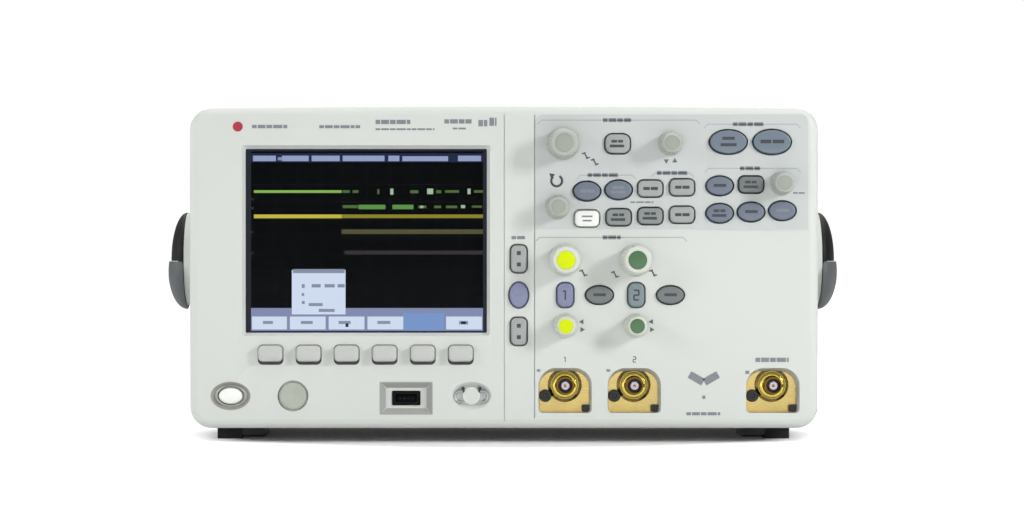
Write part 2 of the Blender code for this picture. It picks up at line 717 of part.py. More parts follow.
def socket_mesh(x, z, label):
    """A bayonet coaxial socket: barrel, insulator, flange and neck, turned in one."""
    barrel_front = FACE_Y - BARREL_PROUD
    floor = FACE_Y + ARCH_DEPTH - SOCKET_FLANGE_T
    seat = FACE_Y + ARCH_DEPTH
    profile = (
        (0, barrel_front + INSULATOR_SINK),
        (INSULATOR_R, barrel_front + INSULATOR_SINK),
        (INSULATOR_R, floor),
        (BARREL_BORE_R, floor),
        (BARREL_BORE_R, barrel_front),
        (BARREL_R, barrel_front),
        (BARREL_R, floor),
        (SOCKET_FLANGE_R, floor),
        (SOCKET_FLANGE_R, seat),
        (SOCKET_NECK_R, seat),
        (SOCKET_NECK_R, FACE_Y + SOCKET_BACK),
        (0, FACE_Y + SOCKET_BACK),
    )
    bm = turned(profile)
    bmesh.ops.translate(bm, verts=bm.verts[:], vec=(x, 0, z))
    lug_y = barrel_front + LUG_SETBACK
    wall_middle = (BARREL_R + BARREL_BORE_R) / 2
    for side in (-1, 1):
        start = (x + side * wall_middle, lug_y, z)
        end = (x + side * (BARREL_R + LUG_PROUD), lug_y, z)
        helper(f"lugs_{label}", f"{side + 1}", rod(LUG_R, start, end, 8))
    return bm


def make_sockets():
    """The three input sockets, the shield plate that carries them, and their recesses in the bezel."""
    shield_front = FACE_Y + ARCH_DEPTH + GAP
    left = SOCKET_X[0] - ARCH_W / 2 - WALL
    right = SOCKET_X[-1] + ARCH_W / 2 + WALL
    low = SOCKET_Z - ARCH_DOWN - 2 * GAP
    high = SOCKET_Z + ARCH_UP + WALL
    shield = part(
        "input_shield",
        block(left, right, shield_front, shield_front + SHIELD_T, low, high),
        "socket_metal",
        (0, shield_front, SOCKET_Z),
    )
    for name, x in zip(("input_socket_1", "input_socket_2", "trigger_socket"), SOCKET_X):
        socket = part(name, socket_mesh(x, SOCKET_Z, name), "socket_metal", (x, FACE_Y, SOCKET_Z))
        combine(socket, "UNION", f"lugs_{name}")
        recess = moved(arch(), x, SOCKET_Z)
        rim = moved(arch(WALL - 1 * MM), x, SOCKET_Z)
        back = FACE_Y + ARCH_DEPTH
        helper("bezel_bosses", name, prism(rim, FACE_Y + WALL - OVERLAP, back))
        helper("bezel_holes", name, prism(recess, FACE_Y - CUT_PAST, back + CUT_PAST))
        start = (x, shield_front - CUT_PAST, SOCKET_Z)
        end = (x, shield_front + SHIELD_T + CUT_PAST, SOCKET_Z)
        helper("shield_holes", name, rod(SOCKET_NECK_R + GAP, start, end))
    combine(shield, "DIFFERENCE", "shield_holes")


def make_usb_port():
    """The front USB socket, in its sunk frame."""
    x, z = USB_X, USB_Z
    floor = USB_SINK + WALL
    boss = moved(rounded(USB_RECESS_W + 2 * WALL, USB_RECESS_H + 2 * WALL - 3 * MM, USB_RECESS_R), x, z)
    helper("bezel_bosses", "usb", prism(boss, FACE_Y + WALL - OVERLAP, FACE_Y + floor))
    slope = USB_RECESS_DRAFT / USB_SINK
    grow = 2 * slope * CUT_PAST
    mouth = moved(rounded(USB_RECESS_W + grow, USB_RECESS_H + grow, USB_RECESS_R), x, z)
    sill_size = (USB_RECESS_W - 2 * USB_RECESS_DRAFT, USB_RECESS_H - 2 * USB_RECESS_DRAFT)
    sill = moved(rounded(*sill_size, USB_RECESS_R / 2), x, z)
    helper("bezel_holes", "usb_recess", prism(mouth, FACE_Y - CUT_PAST, FACE_Y + USB_SINK, sill))
    slot = (USB_W + 2 * GAP, USB_H + 2 * GAP)
    helper("bezel_holes", "usb_slot", centred_block(x, z, slot, FACE_Y, FACE_Y + floor + CUT_PAST))

    front = FACE_Y + USB_SINK - 0.8 * MM
    shell = centred_block(x, z, (USB_W, USB_H), front, front + USB_DEPTH)
    port = part("usb_port", shell, "plated_steel", (x, front, z))
    inside = (USB_W - 2 * USB_METAL, USB_H - 2 * USB_METAL)
    helper("usb_cavity", "mouth", centred_block(x, z, inside, front - CUT_PAST, front + USB_CAVITY_DEPTH))
    combine(port, "DIFFERENCE", "usb_cavity")


def make_probe_terminals():
    """The probe adjustment terminals: two eyed tabs on a round base, in an oval dish."""
    x, z = TERMINAL_X, LOWER_ROW_Z
    make_dish("terminal", x, z, DISH_W, DISH_H, DISH_SINK, DISH_DRAFT)
    floor = FACE_Y + DISH_SINK + WALL
    helper("bezel_holes", "terminal", rod(TERMINAL_R + GAP, (x, FACE_Y, z), (x, floor + CUT_PAST, z)))
    base = (
        (0, floor + CUT_PAST),
        (TERMINAL_R, floor + CUT_PAST),
        (TERMINAL_R, FACE_Y + DISH_SINK - TERMINAL_PROUD),
        (0, FACE_Y + DISH_SINK - TERMINAL_PROUD),
    )
    bm = turned(base, OVAL_POINTS)
    bmesh.ops.translate(bm, verts=bm.verts[:], vec=(x, 0, z))
    terminals = part("probe_terminals", bm, "plated_steel", (x, FACE_Y, z))
    tab_back = FACE_Y + DISH_SINK - TERMINAL_PROUD + OVERLAP
    tab_front = tab_back - OVERLAP - TERMINAL_TAB_H
    for side in (-1, 1):
        tab_x = x + side * TERMINAL_TAB_SPREAD
        size = (TERMINAL_TAB_T, TERMINAL_TAB_W)
        helper("terminal_tabs", f"{side + 1}", centred_block(tab_x, z, size, tab_front, tab_back))
        eye_y = tab_front + TERMINAL_TAB_W / 2
        start = (tab_x - TERMINAL_TAB_T, eye_y, z)
        end = (tab_x + TERMINAL_TAB_T, eye_y, z)
        helper("terminal_eyes", f"{side + 1}", rod(TERMINAL_EYE_R, start, end, 8))
    combine(terminals, "UNION", "terminal_tabs")
    combine(terminals, "DIFFERENCE", "terminal_eyes")


# ---- case, feet and handle ----


def make_case():
    """The case behind the bezel: a shell with pivots, vents, a fan grille and rear openings."""
    front = FACE_Y + BEZEL_DEPTH + GAP
    bm = prism(body_outline(CASE_INSET), front, REAR_Y)
    round_edges(bm, edges_at_y(bm, REAR_Y), EDGE_R, 2)
    case = part("rear_case", bm, "shell_plastic", (0, REAR_Y, BASE + BODY_H / 2))
    helper("case_inside", "cavity", prism(body_outline(CASE_INSET + WALL), front - CUT_PAST, REAR_Y - WALL))
    combine(case, "DIFFERENCE", "case_inside")

    for side, name in ((-1, "left"), (1, "right")):
        inner = (side * (CASE_HALF_W - WALL / 2), FACE_Y + PIVOT_DEPTH, PIVOT_Z)
        boss_end = (side * (CASE_HALF_W + PIVOT_BOSS_T), *inner[1:])
        pin_end = (side * (CASE_HALF_W + PIVOT_PIN_LENGTH), *inner[1:])
        helper("case_pivots", f"boss_{name}", rod(PIVOT_BOSS_R, inner, boss_end))
        helper("case_pivots", f"pin_{name}", rod(PIVOT_PIN_R, inner, pin_end))
        for i in range(VENT_COUNT):
            y = FACE_Y + PIVOT_DEPTH + HUB_R + 1.2 * VENT_PITCH + (i - 1) * VENT_PITCH * 0.62
            wall = (side * (CASE_HALF_W - 2 * WALL), side * (CASE_HALF_W + CUT_PAST))
            z0 = PIVOT_Z - VENT_H / 2
            vent = block(min(wall), max(wall), y, y + VENT_W * 0.7, z0, z0 + VENT_H)
            helper("case_holes", f"vent_{name}_{i}", vent)
    combine(case, "UNION", "case_pivots")

    pitch = GRILLE_SLOT + GRILLE_RIB
    rows = int(FAN_BORE_R // pitch)
    for row in range(-rows, rows + 1):
        z = FAN_Z + row * pitch
        half = math.sqrt(FAN_BORE_R**2 - (row * pitch) ** 2)
        slot = centred_block(FAN_X, z, (2 * half, GRILLE_SLOT), REAR_Y - 2 * WALL, REAR_Y + CUT_PAST)
        helper("case_holes", f"grille_{row + rows}", slot)
    for label, x, z, size in rear_openings():
        grown = (size[0] + 2 * IO_CLEARANCE, size[1] + 2 * IO_CLEARANCE)
        opening = centred_block(x, z, grown, REAR_Y - 2 * WALL, REAR_Y + CUT_PAST)
        helper("case_holes", label, opening)
    combine(case, "DIFFERENCE", "case_holes")


def board_top():
    """The main board's upper face."""
    return BASE + CASE_INSET + WALL + BOARD_STANDOFF + BOARD_T


def ports():
    """The ports soldered to the main board, as (label, x, outer size, cavity size)."""
    return (
        ("lan", LAN_X, LAN_PORT, LAN_CAVITY),
        ("usb_b", USB_B_X, USB_B_PORT, USB_B_CAVITY),
        ("video", VIDEO_X, VIDEO_PORT, VIDEO_CAVITY),
    )


def rear_openings():
    """The rear openings as (label, x, z, outer size)."""
    openings = [(label, x, board_top() + outer[1] / 2, outer) for label, x, outer, _ in ports()]
    openings.append(("pod", POD_X, board_top() + GAP + POD_SOCKET[1] / 2, POD_SOCKET))
    openings.append(("inlet", SUPPLY_X, INLET_Z, (INLET_W, INLET_H)))
    return openings


def rail_floor_mesh(x0, x1):
    """One foot rail: pads at both ends, relieved between them."""
    front = FACE_Y + RAIL_INSET
    back = REAR_Y - EDGE_R - 3 * MM
    top = BASE + CASE_INSET - GAP
    outline = [
        (front, 0),
        (front + RAIL_PAD, 0),
        (front + RAIL_PAD + RAIL_RELIEF, RAIL_RELIEF),
        (back - RAIL_PAD - RAIL_RELIEF, RAIL_RELIEF),
        (back - RAIL_PAD, 0),
        (back, 0),
        (back, top),
        (front, top),
    ]
    bm = bmesh.new()
    face = bm.faces.new([bm.verts.new((x0, y, z)) for y, z in outline])
    raised = bmesh.ops.extrude_face_region(bm, geom=[face])["geom"]
    bmesh.ops.translate(bm, verts=verts_of(raised), vec=(x1 - x0, 0, 0))
    bmesh.ops.recalc_face_normals(bm, faces=bm.faces[:])
    return bm


def make_feet():
    """The two foot rails, each with a pin for its flip-out tilt foot."""
    axis_y = FACE_Y + RAIL_INSET + TILT_LENGTH - TILT_T / 2
    axis_z = TILT_GROUND_GAP + TILT_T / 2
    for side, name in ((-1, "left"), (1, "right")):
        outer = side * (RAIL_X + RAIL_W / 2)
        inner = side * (RAIL_X - RAIL_W / 2)
        mesh = rail_floor_mesh(min(outer, inner), max(outer, inner))
        rail = part(f"foot_rail_{name}", mesh, "foot_rubber", (side * RAIL_X, 0, BASE))
        tilt_outer = inner - side * GAP
        tilt_inner = tilt_outer - side * TILT_W
        pin_end = (tilt_inner + side * TILT_PIN_CAP, axis_y, axis_z)
        pin = rod(TILT_PIN_R, (side * RAIL_X, axis_y, axis_z), pin_end, 12)
        helper(f"rail_pin_{name}", "pin", pin)
        combine(rail, "UNION", f"rail_pin_{name}")

        bm = tilt_foot_mesh(min(tilt_outer, tilt_inner), max(tilt_outer, tilt_inner), axis_y, axis_z)
        foot = part(f"tilt_foot_{name}", bm, "foot_rubber", (side * (RAIL_X - RAIL_W), axis_y, axis_z))
        bore_end = (pin_end[0] - side * GAP, axis_y, axis_z)
        bore = rod(TILT_PIN_R + GAP, (tilt_outer + side * CUT_PAST, axis_y, axis_z), bore_end, 12)
        helper(f"tilt_bore_{name}", "bore", bore)
        combine(foot, "DIFFERENCE", f"tilt_bore_{name}")


def tilt_foot_mesh(x0, x1, axis_y, axis_z):
    """A flip-out foot: a flat tongue, round at its hinge end, stowed pointing forwards."""
    r = TILT_T / 2
    tip = axis_y + r - TILT_LENGTH
    turns = [math.pi * (0.5 - i / 6) for i in range(7)]
    outline = [(axis_y + r * math.cos(t), axis_z + r * math.sin(t)) for t in turns]
    outline += [(tip + 1 * MM, axis_z - r), (tip, axis_z - r + 1 * MM), (tip, axis_z + r)]
    bm = bmesh.new()
    face = bm.faces.new([bm.verts.new((x0, y, z)) for y, z in outline])
    raised = bmesh.ops.extrude_face_region(bm, geom=[face])["geom"]
    bmesh.ops.translate(bm, verts=verts_of(raised), vec=(x1 - x0, 0, 0))
    bmesh.ops.recalc_face_normals(bm, faces=bm.faces[:])
    return bm


def bail_outline(half, y_front, y_back, bend, steps=4):
    """One edge of the bail seen from above, from the left pivot round the back to the right one."""
    points = [(-half, y_front)]
    for i in range(steps + 1):
        t = math.pi / 2 * i / steps
        points.append((-half + bend * (1 - math.cos(t)), y_back - bend * (1 - math.sin(t))))
    return points + [(-x, y) for x, y in reversed(points)]


def make_handle():
    """The bail handle: two hubs on the case's pivot pins, arms, and a grip across the back."""
    pivot_y = FACE_Y + PIVOT_DEPTH
    outer_half = HANDLE_SPAN / 2 - 3 * MM
    inner_half = outer_half - ARM_T
    back = REAR_Y + HANDLE_REACH
    outer = bail_outline(outer_half, pivot_y, back, ARM_BEND_R)
    inner = bail_outline(inner_half, pivot_y, back - GRIP_T, ARM_BEND_R - ARM_T)
    bm = bmesh.new()
    face = bm.faces.new([bm.verts.new((x, y, PIVOT_Z - ARM_H / 2)) for x, y in outer + inner[::-1]])
    raised = bmesh.ops.extrude_face_region(bm, geom=[face])["geom"]
    bmesh.ops.translate(bm, verts=verts_of(raised), vec=(0, 0, ARM_H))
    bmesh.ops.recalc_face_normals(bm, faces=bm.faces[:])
    level = [e for e in bm.edges if abs(e.verts[0].co.z - e.verts[1].co.z) < 1e-6]
    rims = [e for e in level if max(v.co.y for v in e.verts) > pivot_y + 1e-6]
    round_edges(bm, rims, 4 * MM, 2)
    handle = part("handle", bm, "handle_rubber", (0, pivot_y, PIVOT_Z))

    hub_inner = CASE_HALF_W + PIVOT_BOSS_T + HUB_CLEARANCE
    hub_outer = HANDLE_SPAN / 2
    for side, name in ((-1, "left"), (1, "right")):
        dome = (
            (0, hub_inner),
            (HUB_R, hub_inner),
            (HUB_R, hub_outer - HUB_DOME),
            (HUB_R * 0.86, hub_outer - HUB_DOME * 0.42),
            (HUB_R * 0.5, hub_outer - HUB_DOME * 0.1),
            (0, hub_outer),
        )
        hub = turned(dome, 24)
        turn = Matrix.Rotation(-side * math.pi / 2, 4, "Z")
        bmesh.ops.transform(hub, matrix=Matrix.Translation((0, pivot_y, PIVOT_Z)) @ turn, verts=hub.verts[:])
        helper("handle_hubs", name, hub)
        start = (side * (hub_inner - CUT_PAST), pivot_y, PIVOT_Z)
        end = (side * (CASE_HALF_W + PIVOT_PIN_LENGTH + GAP), pivot_y, PIVOT_Z)
        helper("handle_bores", name, rod(PIVOT_PIN_R + GAP, start, end))
    combine(handle, "UNION", "handle_hubs")
    combine(handle, "DIFFERENCE", "handle_bores")


# ---- inner modules and rear ports ----


def make_main_board():
    """The acquisition board lying in the base, with the rear ports soldered to it."""
    z1 = board_top()
    back = REAR_Y - PORT_SINK
    board_back = REAR_Y - WALL - 2 * GAP
    front = FACE_Y + SOCKET_BACK + 2 * GAP
    bm = block(*MAIN_BOARD_X, front, board_back, z1 - BOARD_T, z1)
    board = part("main_board", bm, "board_green", (0, board_back, z1))
    for label, x, outer, cavity in ports():
        width, height, depth = outer
        shell = block(x - width / 2, x + width / 2, back - depth, back, z1 - OVERLAP, z1 + height)
        helper("port_shells", label, shell)
        mouth = centred_block(x, z1 + height / 2, cavity, back - cavity[2], back + CUT_PAST)
        helper("port_cavities", label, mouth)
    combine(board, "UNION", "port_shells")
    combine(board, "DIFFERENCE", "port_cavities")


def make_pod_socket():
    """The wide socket for the logic probe pod's cable."""
    z = board_top() + GAP + POD_SOCKET[1] / 2
    back = REAR_Y - PORT_SINK
    bm = centred_block(POD_X, z, POD_SOCKET, back - POD_SOCKET[2], back)
    socket = part("logic_pod_socket", bm, "black_plastic", (POD_X, back, z))
    helper("pod_cavity", "mouth", centred_block(POD_X, z, POD_CAVITY, back - POD_CAVITY[2], back + CUT_PAST))
    combine(socket, "DIFFERENCE", "pod_cavity")


def make_power_supply():
    """The power supply: an open tray with its large components, and the mains inlet on its back."""
    back = REAR_Y - PORT_SINK
    box_back = REAR_Y - SUPPLY_BACK_GAP
    low = BASE + CASE_INSET + WALL + SUPPLY_FOOT
    high = low + SUPPLY_H
    x0, x1 = SUPPLY_X - SUPPLY_W / 2, SUPPLY_X + SUPPLY_W / 2
    y0 = box_back - SUPPLY_L
    tray = block(x0, x1, y0, box_back, low, high)
    supply = part("power_supply", tray, "plated_steel", (SUPPLY_X, box_back, low))
    wall = SUPPLY_WALL
    inside = block(x0 + wall, x1 - wall, y0 + wall, box_back - wall, low + wall, high + CUT_PAST)
    helper("supply_inside", "cavity", inside)
    combine(supply, "DIFFERENCE", "supply_inside")

    floor = low + wall - OVERLAP
    middle = (y0 + box_back) / 2
    width, length, height = TRANSFORMER
    core = block(SUPPLY_X - width / 2, SUPPLY_X + width / 2, middle, middle + length, floor, floor + height)
    helper("supply_parts", "transformer", core)
    width, length, height = HEAT_SINK
    sink_x = x1 - 3 * width
    sink = block(sink_x, sink_x + width, middle - length / 2, middle + length / 2, floor, floor + height)
    helper("supply_parts", "heat_sink", sink)
    for i in range(2):
        y = y0 + 2 * CAPACITOR_R + i * CAPACITOR_PITCH
        start = (x0 + 2 * CAPACITOR_R, y, floor)
        helper("supply_parts", f"capacitor_{i}", rod(CAPACITOR_R, start, (start[0], y, floor + CAPACITOR_H)))
    inlet = centred_block(SUPPLY_X, INLET_Z, (INLET_W, INLET_H), box_back - OVERLAP, back)
    helper("supply_parts", "inlet", inlet)
    cavity = rounded(INLET_CAVITY_W, INLET_CAVITY_H, 3 * MM, 1)
    mouth = prism(moved(cavity, SUPPLY_X, INLET_Z), back - INLET_CAVITY_DEPTH, back + CUT_PAST)
    helper("inlet_cavity", "mouth", mouth)
    combine(supply, "UNION", "supply_parts")
    combine(supply, "DIFFERENCE", "inlet_cavity")


def make_fan():
    """The fan: a square frame with a spider that carries the motor, and the rotor."""
    back = REAR_Y - WALL - 2 * GAP
    front = back - FAN_T
    body = centred_block(FAN_X, FAN_Z, (FAN_SIZE, FAN_SIZE), front, back)
    frame = part("fan_frame", body, "black_plastic", (FAN_X, front, FAN_Z))
    bore = rod(FAN_BORE_R, (FAN_X, front - CUT_PAST, FAN_Z), (FAN_X, back + CUT_PAST, FAN_Z), 24)
    helper("fan_bore", "bore", bore)
    combine(frame, "DIFFERENCE", "fan_bore")
    spider = (front, front + FAN_MOUNT_T)
    reach = FAN_BORE_R + 1 * MM
    for label, size in (("across", (2 * reach, FAN_SPOKE_W)), ("upright", (FAN_SPOKE_W, 2 * reach))):
        helper("fan_spider", label, centred_block(FAN_X, FAN_Z, size, *spider))
    helper("fan_spider", "motor", rod(FAN_HUB_R, (FAN_X, spider[0], FAN_Z), (FAN_X, spider[1] - GAP, FAN_Z)))
    combine(frame, "UNION", "fan_spider")

    rotor_front = front + FAN_MOUNT_T + 3 * GAP
    rotor_back = back - 2 * GAP
    hub = rod(FAN_HUB_R, (FAN_X, rotor_front, FAN_Z), (FAN_X, rotor_back, FAN_Z))
    rotor = part("fan_rotor", hub, "black_plastic", (FAN_X, rotor_front, FAN_Z))
    middle = (rotor_front + rotor_back) / 2
    for i in range(FAN_BLADES):
        root = FAN_HUB_R - 2 * MM
        half_chord, half_t = FAN_BLADE_CHORD / 2, FAN_BLADE_T / 2
        blade = block(-half_chord, half_chord, -half_t, half_t, root, FAN_TIP_R)
        place = (
            Matrix.Translation((FAN_X, middle, FAN_Z))
            @ Matrix.Rotation(math.tau * i / FAN_BLADES, 4, "Y")
            @ Matrix.Rotation(FAN_PITCH, 4, "Z")
        )
        bmesh.ops.transform(blade, matrix=place, verts=blade.verts[:])
        helper("fan_blades", f"{i}", blade)
    combine(rotor, "UNION", "fan_blades")


def main():
    """Clears the scene and builds the instrument."""
    for old in list(bpy.data.objects):
        bpy.data.objects.remove(old)
    make_keys()
    make_power_key()
    make_knobs()
    make_intensity_dial()
    make_display()
    make_keypad_board()
    make_usb_port()
    make_probe_terminals()
    make_sockets()
    make_bezel()
    make_case()
    make_feet()
    make_handle()
    make_main_board()
    make_pod_socket()
    make_power_supply()
    make_fan()


main()
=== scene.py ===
"""Looks for a bench mixed-signal analyser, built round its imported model.

Frame: +X to the right of someone facing the instrument, +Y from the face to the back, +Z up, metres.
Every piece takes its place from the model's nodes, and rides on one of its bodies.
"""

import json
import logging
import math
from collections.abc import Callable
from dataclasses import dataclass, field
from enum import Enum

import bmesh
import bpy
from mathutils import Matrix, Vector


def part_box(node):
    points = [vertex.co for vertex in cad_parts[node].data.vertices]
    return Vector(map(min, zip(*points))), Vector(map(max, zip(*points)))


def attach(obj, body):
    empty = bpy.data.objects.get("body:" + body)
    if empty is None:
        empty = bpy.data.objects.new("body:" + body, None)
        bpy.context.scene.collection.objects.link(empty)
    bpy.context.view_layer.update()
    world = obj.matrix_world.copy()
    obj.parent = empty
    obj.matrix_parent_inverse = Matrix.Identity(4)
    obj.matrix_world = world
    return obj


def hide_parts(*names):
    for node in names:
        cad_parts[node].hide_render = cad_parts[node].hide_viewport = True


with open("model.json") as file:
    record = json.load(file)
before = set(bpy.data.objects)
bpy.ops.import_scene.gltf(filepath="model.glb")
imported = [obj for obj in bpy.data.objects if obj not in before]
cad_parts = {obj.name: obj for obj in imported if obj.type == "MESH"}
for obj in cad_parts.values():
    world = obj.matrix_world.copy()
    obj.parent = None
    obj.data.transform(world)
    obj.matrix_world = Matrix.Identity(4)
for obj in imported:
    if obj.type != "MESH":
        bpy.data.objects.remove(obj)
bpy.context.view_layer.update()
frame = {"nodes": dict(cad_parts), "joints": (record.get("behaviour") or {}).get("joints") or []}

Mesh = bmesh.types.BMesh
Outliner = Callable[..., Mesh]

LOG = logging.getLogger("analyser")
MM = 0.001
ROOT = "instrument"
SOCKET_NODES = ("input_socket_1", "input_socket_2", "trigger_socket")
NOTHING = 1e-6  # closer than this, two points are one

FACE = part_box("front_bezel")[0].y
BEZEL_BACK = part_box("front_bezel")[1].y
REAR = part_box("rear_case")[1].y
HALF_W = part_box("front_bezel")[1].x
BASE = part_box("front_bezel")[0].z
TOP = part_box("front_bezel")[1].z


# ---- shapes ----


def mm(*sizes: float) -> tuple[float, ...]:
    """Turns millimetres into metres."""
    return tuple(size * MM for size in sizes)


def block(x0: float, x1: float, y0: float, y1: float, z0: float, z1: float) -> Mesh:
    """Makes a box.

    Args:
        x0, x1, y0, y1, z0, z1: its limits along each axis.

    Returns:
        The new mesh.
    """
    bm = bmesh.new()
    size = Vector((x1 - x0, y1 - y0, z1 - z0))
    centre = Vector((x0 + x1, y0 + y1, z0 + z1)) / 2
    bmesh.ops.create_cube(bm, size=1, matrix=Matrix.Translation(centre) @ Matrix.Diagonal((*size, 1)))
    return bm


def round_edges(bm: Mesh, edges: list, radius: float, segments: int = 3) -> None:
    """Rounds edges.

    Args:
        bm: the mesh.
        edges: the edges of it to round.
        radius: how far the rounding starts from the edge.
        segments: its facets.
    """
    bmesh.ops.bevel(
        bm, geom=edges, offset=radius, segments=segments, profile=0.5, affect="EDGES", material=-1,
        clamp_overlap=True,
    )


def edges_along(bm: Mesh, axis: int) -> list:
    """Gives the edges parallel to one axis, 0 for X, 1 for Y and 2 for Z."""
    others = [i for i in range(3) if i != axis]
    return [e for e in bm.edges if all(abs(e.verts[0].co[i] - e.verts[1].co[i]) < NOTHING for i in others)]


def edges_at(bm: Mesh, axis: int, value: float) -> list:
    """Gives the edges that lie in the plane where one coordinate has that value."""
    return [e for e in bm.edges if all(abs(v.co[axis] - value) < NOTHING for v in e.verts)]


def face_at(bm: Mesh, axis: int, value: float) -> list:
    """Gives the faces that lie in the plane where one coordinate has that value."""
    return [f for f in bm.faces if all(abs(v.co[axis] - value) < NOTHING for v in f.verts)]


def slab(
    x: float, z: float, size: tuple[float, float], y0: float, y1: float, radius: float = 0.0,
    foot_radius: float | None = None, segments: int = 6,
) -> Mesh:
    """Makes a block with round corners, seen from the front.

    Args:
        x, z: its middle.
        size: its width and height.
        y0, y1: its front and back.
        radius: the corners' radius.
        foot_radius: the radius of the lower two, where it differs.
        segments: the facets of each corner.

    Returns:
        The new mesh.
    """
    width, height = size
    bm = block(x - width / 2, x + width / 2, y0, y1, z - height / 2, z + height / 2)
    foot_radius = radius if foot_radius is None else foot_radius
    for corner_radius, side in ((radius, 1), (foot_radius, -1)):
        if corner_radius:
            corners = [e for e in edges_along(bm, 1) if side * (e.verts[0].co.z - z) > height / 2 - NOTHING]
            round_edges(bm, corners, corner_radius, segments)
    return bm


def oval(x: float, z: float, size: tuple[float, float], y0: float, y1: float, segments: int = 40) -> Mesh:
    """Makes an oval block, seen from the front.

    Args:
        x, z: its middle.
        size: its width and height.
        y0, y1: its front and back.
        segments: the facets of its outline.

    Returns:
        The new mesh.
    """
    bm = bmesh.new()
    place = Matrix.Translation((x, (y0 + y1) / 2, z)) @ Matrix.Diagonal((size[0], y1 - y0, size[1], 1))
    turn = Matrix.Rotation(math.pi / 2, 4, "X")
    bmesh.ops.create_cone(bm, cap_ends=True, segments=segments, radius1=0.5, radius2=0.5, depth=1, matrix=place @ turn)
    return bm


def rod(radius: float, start: tuple, end: tuple, segments: int = 24) -> Mesh:
    """Makes a round rod.

    Args:
        radius: its radius.
        start, end: the middles of its ends.
        segments: its facets.

    Returns:
        The new mesh.
    """
    bm = bmesh.new()
    axis = Vector(end) - Vector(start)
    place = Matrix.Translation((Vector(start) + Vector(end)) / 2)
    turn = axis.to_track_quat("Z", "Y").to_matrix().to_4x4()
    bmesh.ops.create_cone(
        bm, cap_ends=True, segments=segments, radius1=radius, radius2=radius, depth=axis.length,
        matrix=place @ turn,
    )
    return bm


def points(y: float, *pairs: tuple[float, float]) -> list[tuple[float, float]]:
    """Gives a profile's points from their radii and how far behind y they lie, in millimetres."""
    return [(radius * MM, y + back * MM) for radius, back in pairs]


def turned(profile: list, x: float, z: float, steps: int = 48) -> Mesh:
    """Turns a profile about an axis along Y.

    Args:
        profile: (radius, y) points, from the axis and back to it.
        x, z: where the axis is.
        steps: the facets round the turn.

    Returns:
        The new closed mesh.
    """
    bm = bmesh.new()
    verts = [bm.verts.new((r, y, 0)) for r, y in profile]
    edges = [bm.edges.new(pair) for pair in zip(verts, verts[1:])]
    bmesh.ops.spin(
        bm, geom=verts + edges, cent=(0, 0, 0), axis=(0, 1, 0), angle=math.tau, steps=steps, use_merge=True
    )
    bmesh.ops.remove_doubles(bm, verts=bm.verts[:], dist=NOTHING)
    bmesh.ops.recalc_face_normals(bm, faces=bm.faces[:])
    bmesh.ops.translate(bm, verts=bm.verts[:], vec=(x, 0, z))
    return bm


def tapered(bm: Mesh, y: float, x: float, z: float, share: tuple[float, float]) -> Mesh:
    """Makes one outline of a block smaller or larger.

    Args:
        bm: the mesh.
        y: where the outline lies.
        x, z: the point that stays in place.
        share: what becomes of its width and height, as shares of what they were.

    Returns:
        The same mesh.
    """
    verts = [v for v in bm.verts if abs(v.co.y - y) < NOTHING]
    space = Matrix.Translation((-x, 0, -z))
    bmesh.ops.scale(bm, verts=verts, vec=(share[0], 1, share[1]), space=space)
    return bm


def stepped(bm: Mesh, y: float, x: float, z: float, steps: list[tuple[float, float]]) -> Mesh:
    """Raises the front face in steps, each a smaller copy of the outline.

    Args:
        bm: the mesh, whose front face lies at y.
        y: where that face lies.
        x, z: the point that it shrinks towards.
        steps: for each step, the share of the outline that is kept and how far it moves forwards.

    Returns:
        The same mesh.
    """
    space = Matrix.Translation((-x, 0, -z))
    for share, forward in steps:
        face = min(face_at(bm, 1, y), key=lambda f: -f.calc_area())
        face = bmesh.ops.extrude_discrete_faces(bm, faces=[face])["faces"][0]
        bmesh.ops.scale(bm, verts=face.verts, vec=(share, 1, share), space=space)
        bmesh.ops.translate(bm, verts=face.verts, vec=(0, -forward, 0))
        y -= forward
    return bm


def joined(parts: list[Mesh]) -> Mesh:
    """Puts several separate bodies into one mesh.

    Args:
        parts: their meshes; all but the first are freed.

    Returns:
        The first of them, with the rest added.
    """
    whole = parts[0]
    for extra in parts[1:]:
        mesh = bpy.data.meshes.new("extra")
        extra.to_mesh(mesh)
        extra.free()
        whole.from_mesh(mesh)
        bpy.data.meshes.remove(mesh)
    return whole


class Cut(Enum):
    """What a Boolean does with its tools."""

    AWAY = "DIFFERENCE"
    ON = "UNION"


def carved(bm: Mesh, tools: list[Mesh], cut: Cut = Cut.AWAY) -> Mesh:
    """Cuts tools away from a mesh, or joins them on.

    Args:
        bm: the mesh that is cut; it is freed.
        tools: closed meshes, which are freed too.
        cut: whether they are taken away or joined on.

    Returns:
        The new mesh.
    """
    group = bpy.data.collections.new("tools")
    bpy.context.scene.collection.children.link(group)
    made = []
    for number, body in enumerate([bm, *tools]):
        mesh = bpy.data.meshes.new(f"tool_{number}")
        body.to_mesh(mesh)
        body.free()
        holder = bpy.data.objects.new(f"tool_{number}", mesh)
        (group if number else bpy.context.scene.collection).objects.link(holder)
        made.append(holder)
    modifier = made[0].modifiers.new("cut", "BOOLEAN")
    modifier.operation = cut.value
    modifier.operand_type = "COLLECTION"
    modifier.collection = group
    modifier.solver = "EXACT"
    final = made[0].evaluated_get(bpy.context.evaluated_depsgraph_get())
    result = bmesh.new()
    result.from_mesh(final.to_mesh())
    for holder in made:
        bpy.data.meshes.remove(holder.data)
    bpy.data.collections.remove(group)
    return result


# ---- finishes ----


